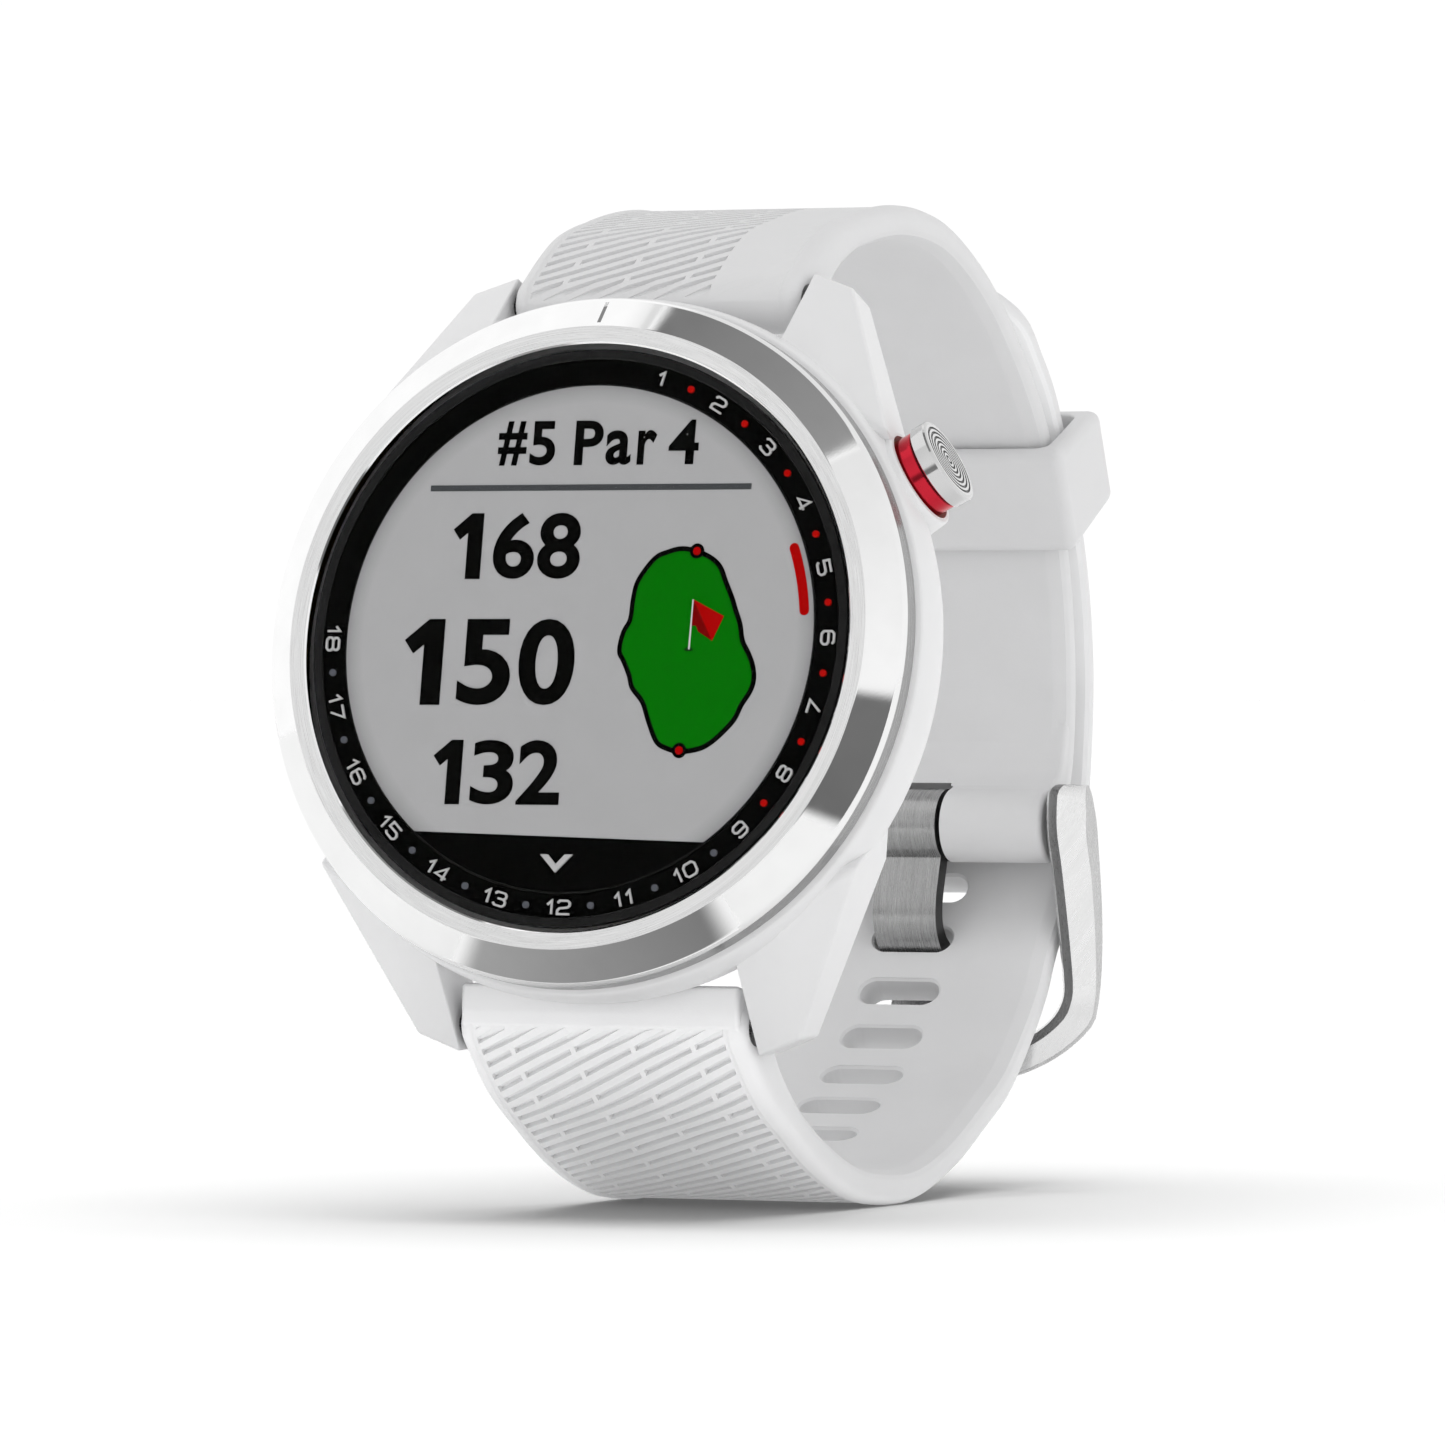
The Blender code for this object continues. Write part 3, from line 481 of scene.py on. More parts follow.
MADE = (
    moulded("case_white", (0.80, 0.80, 0.805, 1), 0.34, specular=0.4),
    moulded("silicone", (0.73, 0.73, 0.735, 1), 0.52, 7000.0, 0.006, specular=0.35),
    moulded("rim_grey", srgb(96, 96, 96), 0.5),
    moulded("rim_black", grey(0.006), 0.22, 3000.0, 0.001, 0.2, specular=0.12),
    moulded("plastic_black", grey(0.02), 0.45, cloud=0.15),
    moulded("rubber_black", grey(0.02), 0.7, cloud=0.2),
    moulded("board_green", (0.015, 0.14, 0.06, 1), 0.4, cloud=0.15),
    moulded("amber", (0.5, 0.2, 0.03, 1), 0.4, cloud=0.2),
    moulded("diffuser", (0.8, 0.8, 0.82, 1), 0.5),
    circular("bezel_flat", grey(0.74), 0.30, (7.0, 16000.0, 2000.0), 0.20, anisotropy=0.7),
    circular("bezel_band", grey(0.33), 0.24, (7.0, 200.0, 16000.0), 0.18),
    polished("bezel_slope", grey(0.86), 0.06),
    polished("button_steel", grey(0.62), 0.10),
    polished("button_face", grey(0.72), 0.25),
    # a dark copy of the button's steel: painted shade for the cap's grooves
    polished("button_groove_painted_shade", grey(0.12), 0.35),
    polished("button_red", srgb(196, 40, 56), 0.16),
    polished("thin_gold", srgb(226, 178, 120), 0.2),
    polished("gold", srgb(222, 176, 96), 0.18),
    brushed("buckle_brushed", grey(0.52), 0.26, (9000.0, 350.0, 5000.0), (0, 0, 8), 0.14),
    # The next two are darker and lighter copies of the buckle's brushed steel: painted shade and
    # painted highlight for its facets.
    brushed("buckle_face_painted_shade", grey(0.24), 0.30, (9000.0, 350.0, 5000.0), tone=0.18),
    brushed("buckle_bevel_painted_highlight", grey(0.78), 0.24, (2500.0, 350.0, 5200.0), (16, 0, 24), 0.07),
    brushed("tongue_steel", grey(0.40), 0.26, (14000.0, 350.0, 350.0), tone=0.22),
    # a near-black copy of the tongue's steel: painted shade for its cut sides
    brushed("tongue_side_painted_shade", grey(0.08), 0.35, (500.0, 6000.0, 900.0), tone=0.2),
    brushed("bar_steel", grey(0.62), 0.25, (500.0, 9000.0, 9000.0)),
    brushed("foil", (0.6, 0.6, 0.62, 1), 0.35, (900.0, 2500.0, 900.0)),
    printed("dial_black", (0.0016, 0.0016, 0.0017, 1), roughness=0.3),
    printed("screen_black", grey(0.0025), roughness=0.5),
    # The third number of these ink and screen finishes is a painted glow: light added to their
    # colour.
    printed("screen_line", srgb(70, 72, 74), 0.1),
    printed("screen_red", srgb(172, 6, 6), 0.03),
    printed("screen_dark_red", srgb(118, 6, 6), 0.05),
    printed("screen_green", srgb(6, 112, 6), 0.04),
    printed("screen_dark_green", srgb(6, 46, 10), 0.15),
    printed("screen_white", srgb(190, 190, 190), 0.2),
    printed("print_grey", srgb(178, 178, 178), 0.15),
    printed("print_dim", srgb(84, 86, 92), 0.2),
    printed("print_red", srgb(176, 14, 10), 0.08),
    lit_panel("screen_grey", srgb(175, 175, 176), 0.06),
    clear_glass("lens_clear"),
)
FINISHES = {finish.name: finish.material for finish in MADE}

# ---------------------------------------- mesh tools

def add_object(name, mesh, matrix=DIAL):
    obj = bpy.data.objects.new(name, mesh)
    bpy.context.scene.collection.objects.link(obj)
    obj.matrix_world = matrix
    return obj


def settle(obj, smooth_deg=35.0, weighted=False):
    """Apply the modifiers and shade the mesh smooth, with creases where it turns sharply."""
    bpy.context.view_layer.update()
    graph = bpy.context.evaluated_depsgraph_get()
    mesh = bpy.data.meshes.new_from_object(obj.evaluated_get(graph))
    obj.modifiers.clear()
    old = obj.data
    obj.data = mesh
    bpy.data.meshes.remove(old)
    mesh.shade_smooth()
    mesh.set_sharp_from_angle(angle=math.radians(smooth_deg))
    if weighted:
        even = obj.modifiers.new("even_normals", 'WEIGHTED_NORMAL')
        even.keep_sharp = True
    return obj


def finish_piece(obj, smooth_deg, body, slot, *replaced, weighted=True):
    """Settle a piece, bake its place into its mesh as CAD nodes have it, attach it to its body and
    hide the CAD nodes that it replaces.
    """
    settle(obj, smooth_deg, weighted)
    obj.data.transform(obj.matrix_world)
    obj.matrix_world = Matrix()
    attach(obj, body)
    if replaced:
        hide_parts(*replaced)


def bevel(obj, width_mm, segments, limit_deg=30.0):
    step = obj.modifiers.new("bevel", 'BEVEL')
    step.width = width_mm * MM
    step.segments = segments
    step.limit_method = 'ANGLE'
    step.angle_limit = math.radians(limit_deg)
    step.use_clamp_overlap = True
    return obj


def cut(obj, tool, operation='DIFFERENCE'):
    """Subtract or join a scratch object, which is then removed."""
    step = obj.modifiers.new("cut", 'BOOLEAN')
    step.operation = operation
    step.solver = 'MANIFOLD'
    step.object = tool
    settle(obj)
    bpy.data.objects.remove(tool, do_unlink=True)


def mesh_object(name, bm, finish=None, matrix=DIAL):
    bmesh.ops.recalc_face_normals(bm, faces=bm.faces)
    if bm.calc_volume(signed=True) < 0.0:
        bmesh.ops.reverse_faces(bm, faces=bm.faces)
    mesh = bpy.data.meshes.new(name)
    bm.to_mesh(mesh)
    bm.free()
    if finish:
        mesh.materials.append(FINISHES[finish])
    return add_object(name, mesh, matrix)


def loft(name, rings, finish=None, looped=False, matrix=DIAL):
    """A surface through rings of equal point counts, joined end to end or capped."""
    bm = bmesh.new()
    loops = [[bm.verts.new(p) for p in ring] for ring in rings]
    count = len(loops[0])
    pairs = list(zip(loops, loops[1:]))
    if looped:
        pairs.append((loops[-1], loops[0]))
    for near, far in pairs:
        for i in range(count):
            j = (i + 1) % count
            bm.faces.new((near[i], near[j], far[j], far[i]))
    if not looped:
        bm.faces.new(loops[0][::-1])
        bm.faces.new(loops[-1])
    return mesh_object(name, bm, finish, matrix)


def turned(name, profile, finish=None, segments=160, solid=False, matrix=DIAL):
    """Turned about Z from (radius, depth) points: a ring, or a solid disc with flat ends."""
    rings = []
    for radius, depth in profile:
        rings.append([at(radius * math.sin(2 * math.pi * k / segments),
                         radius * math.cos(2 * math.pi * k / segments), depth)
                      for k in range(segments)])
    return loft(name, rings, finish, not solid, matrix)


def rod(name, start, end, radius, segments, finish=None, end_radius=None):
    bm = bmesh.new()
    run = end - start
    turn = run.to_track_quat('Z', 'Y').to_matrix().to_4x4()
    bmesh.ops.create_cone(bm, cap_ends=True, segments=segments, radius1=radius * MM,
                          radius2=(end_radius or radius) * MM, depth=run.length,
                          matrix=Matrix.Translation((start + end) / 2) @ turn)
    return mesh_object(name, bm, finish)


def axle(name, half, up, back, radius, segments, finish=None):
    """A rod straight across the watch."""
    return rod(name, at(-half, up, back), at(half, up, back), radius, segments, finish)


def block(name, low, high, bevel_mm=0.0):
    bm = bmesh.new()
    size = high - low
    scale = Matrix.Diagonal((abs(size.x), abs(size.y), abs(size.z), 1.0))
    bmesh.ops.create_cube(bm, size=1.0, matrix=Matrix.Translation((low + high) / 2) @ scale)
    if bevel_mm:
        bmesh.ops.bevel(bm, geom=bm.edges[:], offset=bevel_mm * MM, segments=3, affect='EDGES')
    return mesh_object(name, bm)


def plate(name, outline, low_depth, high_depth, finish):
    """An (across, up) outline with depth, for ink and screen shapes."""
    rings = [[at(x, y, depth) for x, y in outline] for depth in (low_depth, high_depth)]
    return loft(name, rings, finish)


def side_plate(name, outline, left, right, finish=None):
    """A (back, up) outline extruded across the watch."""
    rings = [[at(x, up, back) for back, up in outline] for x in (left, right)]
    return loft(name, rings, finish)


def smooth_line(points, steps_each, closed=False):
    """A Catmull-Rom curve through points."""
    points = [Vector(p) for p in points]
    if closed:
        padded = [points[-1], *points, points[0], points[1]]
        spans = len(points)
    else:
        padded = [points[0], *points, points[-1]]
        spans = len(points) - 1
    line = []
    for i in range(spans):
        a, b, c, d = padded[i:i + 4]
        for step in range(steps_each):
            t = step / steps_each
            line.append(0.5 * (2 * b + (c - a) * t + (2 * a - 5 * b + 4 * c - d) * t * t
                               + (3 * b - a - 3 * c + d) * t ** 3))
    if not closed:
        line.append(points[-1])
    return line


def ramp(value, start, end):
    """A smooth step from 0 at start to 1 at end."""
    t = min(1.0, max(0.0, (value - start) / (end - start)))
    return t * t * (3.0 - 2.0 * t)


def blend_between(value, start, end, low, high):
    share = min(1.0, max(0.0, (value - start) / (end - start)))
    return low + (high - low) * share


# ---------------------------------------- bezel, lens and dial

CHORD_LEFT_DEG = 220.0
CHORD_RIGHT_DEG = 143.2
PRINT_TOP = 0.03
PRINT_BASE = 0.17
SCREEN_TOP = 0.02
SCREEN_BASE = 0.10


def make_bezel():
    profile = [(BEZEL_BORE_R, -0.40), (BEZEL_BORE_R + 0.10, -0.49), (BEZEL_FLAT_R - 0.02, -0.49),
               (BEZEL_FLAT_R + 0.03, -0.465), (20.93, 0.785), (20.99, 0.85), (BEZEL_R - 0.04, 1.08),
               (BEZEL_R, 1.16), (BEZEL_R, 2.34), (BEZEL_R - 0.06, 2.4), (19.6, 2.4), (19.6, 1.3),
               (BEZEL_BORE_R, 1.3)]
    bezel = turned("bezel", profile, "bezel_slope", segments=256)
    bezel.data.materials.append(FINISHES["bezel_flat"])
    bezel.data.materials.append(FINISHES["bezel_band"])
    cut(bezel, side_plate("mark_tool", ((-0.19, 19.26), (0.86, 20.73), (0.35, 21.1),
                                        (-0.7, 19.63)), -0.12, 0.12, "rim_grey"))
    for face in bezel.data.polygons:
        middle = face.center / MM
        radius = math.hypot(middle.x, middle.y)
        if abs(face.normal.z) > 0.98 and radius < BEZEL_FLAT_R and middle.z > 0.3:
            face.material_index = 1
        elif radius > BEZEL_R - 0.03 and abs(face.normal.z) < 0.2:
            face.material_index = 2
        else:
            face.material_index = 0
    finish_piece(bezel, 20.0, "case", "bezel_steel", "bezel_ring")


def make_lens():
    profile = [(GLASS_R - 0.42, -0.42), (GLASS_R, -0.22), (GLASS_R, -0.14), (GLASS_R - 0.1, -0.10)]
    lens = turned("lens", profile, "lens_clear", segments=192, solid=True)
    finish_piece(lens, 20.0, "case", "lens", "lens_glass")
    profile = [(GLASS_R - 0.62, 0.02), (GLASS_R - 0.56, -0.02), (GLASS_R - 0.04, 0.0),
               (GLASS_R, 0.06), (GLASS_R, 0.3), (GLASS_R - 0.62, 0.3)]
    rim = turned("lens_rim", profile, "rim_black", segments=192)
    finish_piece(rim, 30.0, "case", "dial_black")


def arc_points(radius, start_deg, end_deg, count):
    """Points on a circle round the dial's centre, in degrees clockwise from 12."""
    points = []
    for k in range(count + 1):
        angle = math.radians(start_deg + (end_deg - start_deg) * k / count)
        points.append((radius * math.sin(angle), radius * math.cos(angle)))
    return points


def dial_piece(obj, smooth_deg=35.0):
    finish_piece(obj, smooth_deg, "case", "display", weighted=False)


def ink(name, outline, finish, top, base=SCREEN_BASE):
    """A flat shape of the screen's picture, with its depths behind the bezel's front."""
    dial_piece(plate(name, outline, top, base, finish))


def join_all(name, objects):
    """One object from several, so that a repeated mark is one piece."""
    bm = bmesh.new()
    materials = []
    for obj in objects:
        offset = len(bm.faces)
        bm.from_mesh(obj.data)
        bm.faces.ensure_lookup_table()
        own = list(obj.data.materials)
        for face in bm.faces[offset:]:
            material = own[face.material_index] if own else None
            if material not in materials:
                materials.append(material)
            face.material_index = materials.index(material)
        bpy.data.objects.remove(obj, do_unlink=True)
    mesh = bpy.data.meshes.new(name)
    bm.to_mesh(mesh)
    bm.free()
    for material in materials:
        mesh.materials.append(material)
    return add_object(name, mesh)


def make_dial_face():
    face = turned("dial_face", [(GLASS_R - 0.55, 0.16), (GLASS_R - 0.55, 0.4)], "dial_black",
                  segments=192, solid=True)
    finish_piece(face, 30.0, "case", "dial_black", "dial_ring")
    outline = arc_points(SCREEN_R, CHORD_LEFT_DEG, 360.0 + CHORD_RIGHT_DEG, 150)
    screen = plate("screen", outline, 0.06, 0.2, "screen_grey")
    finish_piece(screen, 30.0, "case", "display", "display_panel", weighted=False)
    rim = turned("screen_rim", [(SCREEN_R, 0.10), (SCREEN_R + 0.03, 0.06), (SCREEN_R + 0.10, 0.06),
                                (SCREEN_R + 0.14, 0.16), (SCREEN_R, 0.16)], "rim_black",
                 segments=192)
    dial_piece(rim, 25.0)


def glyph(name, letter, box, finish, weight):
    """One flat letter of Blender's built-in font, made bold, in a (left, right, low, high) box."""
    left, right, low, high = box
    curve = bpy.data.curves.new(name, 'FONT')
    curve.body = letter
    curve.offset = weight
    curve.extrude = 0.02
    curve.resolution_u = 6
    holder = bpy.data.objects.new(name, curve)
    bpy.context.scene.collection.objects.link(holder)
    bpy.context.view_layer.update()
    graph = bpy.context.evaluated_depsgraph_get()
    mesh = bpy.data.meshes.new_from_object(holder.evaluated_get(graph))
    bpy.data.objects.remove(holder, do_unlink=True)
    ends = [(min(v.co[i] for v in mesh.vertices), max(v.co[i] for v in mesh.vertices))
            for i in range(2)]
    for vertex in mesh.vertices:
        x = blend_between(vertex.co.x, *ends[0], left, right)
        y = blend_between(vertex.co.y, *ends[1], low, high)
        depth = SCREEN_TOP if vertex.co.z > 0.0 else SCREEN_BASE
        vertex.co = at(x, y, depth)
    bm = bmesh.new()
    bm.from_mesh(mesh)
    bmesh.ops.remove_doubles(bm, verts=bm.verts, dist=1e-7)
    return mesh_object(name, bm, finish)


# The figure one, which has a flag, as shares of its box.
FIGURE_ONE = ((0.50, 0.0), (1.0, 0.0), (1.0, 1.0), (0.60, 1.0), (0.0, 0.755), (0.235, 0.60),
              (0.50, 0.705))


def figure_one(name, box, finish):
    left, right, low, high = box
    outline = [(left + (right - left) * x, low + (high - low) * y) for x, y in FIGURE_ONE]
    return plate(name, outline, SCREEN_TOP, SCREEN_BASE, finish)


def make_line_of_text(name, low, high, letters, weight=0.024):
    """A line of (letter, left, right) on one piece; low and high are its capitals' height."""
    made = []
    for letter, left, right in letters:
        top = low + (high - low) * (0.775 if letter in "ar" else 1.0)
        if letter == "1":
            made.append(figure_one(name, (left, right, low, top), "screen_black"))
        else:
            made.append(glyph(name, letter, (left, right, low, top), "screen_black", weight))
    dial_piece(join_all(name, made))


def make_screen_text():
    make_line_of_text("hole_heading", 10.62, 13.36,
                      (("#", -6.28, -4.38), ("5", -4.13, -2.45), ("P", -1.14, 0.72),
                       ("a", 0.95, 2.62), ("r", 3.06, 4.3), ("4", 5.13, 7.10)), 0.022)
    make_line_of_text("distance_back", 3.62, 7.68,
                      (("1", -8.86, -6.88), ("6", -6.09, -3.33), ("8", -3.1, -0.26)))
    make_line_of_text("distance_middle", -4.14, 1.15,
                      (("1", -11.59, -8.95), ("5", -7.86, -4.34), ("0", -3.82, -0.10)))
    make_line_of_text("distance_front", -10.24, -6.29,
                      (("1", -9.05, -7.12), ("3", -6.44, -3.60), ("2", -3.33, -0.47)))
    ink("heading_line", [(-10.62, 9.06), (10.78, 9.06), (10.78, 9.42), (-10.62, 9.42)],
        "screen_line", SCREEN_TOP)


# The green on the screen, as its outline in millimetres.
GREEN_OUTLINE = ((6.5, 5.4), (7.55, 5.22), (8.5, 4.8), (9.1, 4.25), (9.5, 3.4), (10.0, 2.4),
                 (10.25, 1.75), (10.65, 0.8), (10.88, -0.2), (11.35, -1.0), (11.7, -1.8),
                 (11.8, -2.6), (11.6, -3.3), (11.1, -4.1), (10.75, -4.9), (10.1, -5.65),
                 (9.3, -6.35), (8.5, -6.75), (7.3, -6.9), (6.4, -6.7), (5.75, -6.3), (5.15, -5.1),
                 (4.65, -3.9), (3.9, -3.05), (3.65, -2.3), (3.2, -1.4), (2.88, -0.8), (3.05, 0.3),
                 (3.45, 1.1), (3.55, 2.4), (3.8, 3.5), (4.75, 4.8), (5.6, 5.2))
BORDER = 0.2
ARC_R = 14.93
ARC_HALF = 0.31
HOLE_ARC_DEG = (68.6, 83.6)


def grown(outline, width):
    """The closed outline moved outwards, or inwards if width is negative."""
    moved = []
    count = len(outline)
    for k in range(count):
        run = outline[(k + 1) % count] - outline[k - 1]
        moved.append(outline[k] + Vector((-run.y, run.x)).normalized() * width)
    return moved


def circle(centre, radius, count):
    return [(centre[0] + radius * math.sin(2 * math.pi * k / count),
             centre[1] + radius * math.cos(2 * math.pi * k / count)) for k in range(count)]


def make_green():
    outline = smooth_line(GREEN_OUTLINE, 4, closed=True)
    ink("green_edge", grown(outline, BORDER), "screen_black", 0.045)
    ink("green", grown(outline, -BORDER * 0.6), "screen_green", 0.03)
    for label, centre in (("top", (7.51, 5.29)), ("bottom", (7.28, -6.88))):
        ink(f"marker_ring_{label}", circle(centre, 0.47, 40), "screen_black", 0.02)
        ink(f"marker_{label}", circle(centre, 0.25, 40), "screen_red", 0.01)
    hole = [(7.42 + 0.3 * math.sin(a * 0.2618), -0.72 + 0.13 * math.cos(a * 0.2618))
            for a in range(24)]
    ink("hole_shadow", hole, "screen_dark_green", 0.022)
    ink("flag_pole", [(7.39, -0.72), (7.5, -0.72), (7.53, 2.33), (7.45, 2.33)],
        "screen_white", 0.008)
    ink("flag_fold", [(7.52, 2.3), (8.93, -0.21), (7.95, 0.38), (7.8, 0.72), (7.5, 0.72)],
        "screen_dark_red", 0.015)
    ink("flag_cloth", [(7.52, 2.33), (9.6, 1.31), (8.93, -0.21)], "screen_red", 0.012)
    first, last = HOLE_ARC_DEG
    arc = arc_points(ARC_R + ARC_HALF, first, last, 20) + round_end(last, 1)
    arc += arc_points(ARC_R - ARC_HALF, last, first, 20) + round_end(first, -1)
    ink("hole_arc", arc, "screen_red", SCREEN_TOP)
    chevron = [(-1.42, -13.26), (-0.92, -13.26), (-0.36, -13.86), (0.22, -13.26), (0.72, -13.26),
               (-0.36, -14.36)]
    ink("page_arrow", chevron, "print_grey", 0.02, 0.17)


def round_end(angle_deg, sign):
    """The half circle that closes the hole arc at one end."""
    angle = math.radians(angle_deg)
    radial = Vector((math.sin(angle), math.cos(angle)))
    along = Vector((math.cos(angle), -math.sin(angle))) * sign
    points = []
    for k in range(1, 10):
        turn = math.pi * k / 10
        spot = radial * (ARC_R + ARC_HALF * math.cos(turn) * sign)
        spot += along * ARC_HALF * math.sin(turn)
        points.append((spot.x, spot.y))
    return points


# Digits as strokes on a grid 1 wide and 1 tall, drawn with rounded corners.
STROKES = {
    "0": [[(0.2, 0), (0.8, 0), (1, 0.2), (1, 0.8), (0.8, 1), (0.2, 1), (0, 0.8), (0, 0.2),
           (0.2, 0)]],
    "1": [[(0.08, 0.7), (0.42, 1), (0.42, 0)]],
    "2": [[(0, 0.84), (0.18, 1), (0.8, 1), (1, 0.85), (1, 0.64), (0.85, 0.5), (0.16, 0.42),
           (0, 0.28), (0, 0), (1, 0)]],
    "3": [[(0, 0.84), (0.18, 1), (0.8, 1), (0.97, 0.86), (0.97, 0.66), (0.8, 0.53), (0.32, 0.53)],
          [(0.8, 0.53), (1, 0.38), (1, 0.16), (0.82, 0), (0.18, 0), (0, 0.15)]],
    "4": [[(0.76, 0), (0.76, 1), (0, 0.24), (1, 0.24)]],
    "5": [[(0.96, 1), (0.02, 1), (0, 0.56), (0.8, 0.58), (1, 0.42), (1, 0.16), (0.82, 0),
           (0.18, 0), (0, 0.15)]],
    "6": [[(0.96, 0.86), (0.8, 1), (0.2, 1), (0, 0.82), (0, 0.18), (0.2, 0), (0.8, 0), (1, 0.18),
           (1, 0.42), (0.82, 0.56), (0.02, 0.56)]],
    "7": [[(0, 1), (1, 1), (0.36, 0)]],
    "8": [[(0.2, 0.52), (0.8, 0.52), (0.97, 0.68), (0.97, 0.85), (0.8, 1), (0.2, 1), (0.03, 0.85),
           (0.03, 0.68), (0.2, 0.52), (0, 0.36), (0, 0.16), (0.2, 0), (0.8, 0), (1, 0.16),
           (1, 0.36), (0.8, 0.52)]],
    "9": [[(0.04, 0.14), (0.2, 0), (0.8, 0), (1, 0.18), (1, 0.82), (0.8, 1), (0.2, 1), (0, 0.82),
           (0, 0.58), (0.18, 0.44), (0.98, 0.44)]],
}
DIGIT_TALL = 0.82
DIGIT_WIDE = 0.80
DIGIT_ONE_WIDE = 0.42
DIGIT_SPACE = 0.33
STROKE = 0.125


def stroke_piece(points):
    """A flat ribbon along the points, with mitred corners."""
    count = len(points)
    closed = (points[0] - points[-1]).length < 1e-6
    left = []
    right = []
    for k in range(count):
        before = points[k - 1] if k else (points[-2] if closed else None)
        after = points[k + 1] if k < count - 1 else (points[1] if closed else None)
        first = (points[k] - before).normalized() if before is not None else None
        second = (after - points[k]).normalized() if after is not None else None
        run = ((first or second) + (second or first)).normalized()
        normal = Vector((-run.y, run.x))
        along = first or second
        stretch = 1.0 / max(0.5, normal.dot(Vector((-along.y, along.x))))
        left.append(points[k] + normal * STROKE / 2 * stretch)
        right.append(points[k] - normal * STROKE / 2 * stretch)
    return left, right, closed


def number_shape(name, number):
    """A hole number on the dial ring; 1 to 6 read from outside, the rest from inside."""
    digits = str(number)
    widths = [DIGIT_ONE_WIDE if d == "1" else DIGIT_WIDE for d in digits]
    total = sum(widths) + DIGIT_SPACE * (len(digits) - 1)
    angle = math.radians(HOLE_STEP_DEG * number)
    radial = Vector((math.sin(angle), math.cos(angle)))
    up = radial if number <= 6 else -radial
    across = Vector((up.y, -up.x))
    bm = bmesh.new()
    start = -total / 2
    for digit, width in zip(digits, widths):
        for stroke in STROKES[digit]:
            points = []
            for x, y in stroke:
                spot_x = start + (x if digit != "1" else x / 0.5) * width
                points.append(radial * PRINT_R + across * spot_x + up * (y - 0.5) * DIGIT_TALL)
            left, right, closed = stroke_piece(points)
            low = [[bm.verts.new(at(p.x, p.y, PRINT_BASE)) for p in side] for side in (left, right)]
            top = [[bm.verts.new(at(p.x, p.y, PRINT_TOP)) for p in side] for side in (left, right)]
            for k in range(len(points) - 1):
                n = k + 1
                bm.faces.new((top[0][k], top[0][n], top[1][n], top[1][k]))
                bm.faces.new((low[0][k], low[1][k], low[1][n], low[0][n]))
                bm.faces.new((top[0][k], low[0][k], low[0][n], top[0][n]))
                bm.faces.new((top[1][k], top[1][n], low[1][n], low[1][k]))
            if not closed:
                for k in (0, len(points) - 1):
                    bm.faces.new((top[0][k], top[1][k], low[1][k], low[0][k]))
        start += width + DIGIT_SPACE
    bmesh.ops.remove_doubles(bm, verts=bm.verts, dist=1e-7)
    return mesh_object(name, bm, "print_grey")


def make_dial_print():
    """Numbers 1 to 18 every 15 degrees, with a dot half way to the next."""
    for number in range(1, 19):
        dial_piece(number_shape(f"hole_number_{number}", number))
    for label, finish, first, last in (("front_dots", "print_red", 1, 8),
                                       ("back_dots", "print_dim", 9, 17)):
        dots = []
        for number in range(first, last + 1):
            angle = math.radians(HOLE_STEP_DEG * (number + 0.5))
            centre = (PRINT_R * math.sin(angle), PRINT_R * math.cos(angle))
            dots.append(plate("dot", circle(centre, 0.215, 24), PRINT_TOP, PRINT_BASE, finish))
        dial_piece(join_all(label, dots))


# ---------------------------------------- case

# Corners of one lug as (across, up, back): the front ridge, the tip, then the back.
LUG_CORNERS = ((LUG_GAP_HALF, 19.2, 4.4), (LUG_GAP_HALF, 24.2, 8.75), (12.8, 23.15, 8.4),
               (17.9, 13.4, 3.4), (12.9, 16.7, 3.3), (LUG_GAP_HALF, 16.4, 4.4),
               (15.0, 13.0, 3.6), (LUG_GAP_HALF, 17.4, 9.0), (15.6, 13.2, 9.0),
               (18.2, 10.2, 7.2), (LUG_GAP_HALF, 23.6, 11.6), (12.7, 22.6, 11.3),
               (17.6, 12.0, 8.6))


def make_lug(across_sign, up_sign):
    """One faceted lug: the hull of its corners."""
    bm = bmesh.new()
    for across, up, back in LUG_CORNERS:
        bm.verts.new(at(across_sign * across, up_sign * up, back))
    bmesh.ops.convex_hull(bm, input=bm.verts[:])
    bmesh.ops.dissolve_limit(bm, angle_limit=math.radians(3.0), verts=bm.verts, edges=bm.edges)
    return settle(bevel(mesh_object("lug", bm, "case_white"), 0.20, 5, 12.0))


def on_button_axis(radial):
    angle = math.radians(BUTTON_ANGLE_DEG)
    return Vector((math.sin(angle), math.cos(angle), 0.0)) * radial * MM + at(0, 0, BUTTON_BACK)


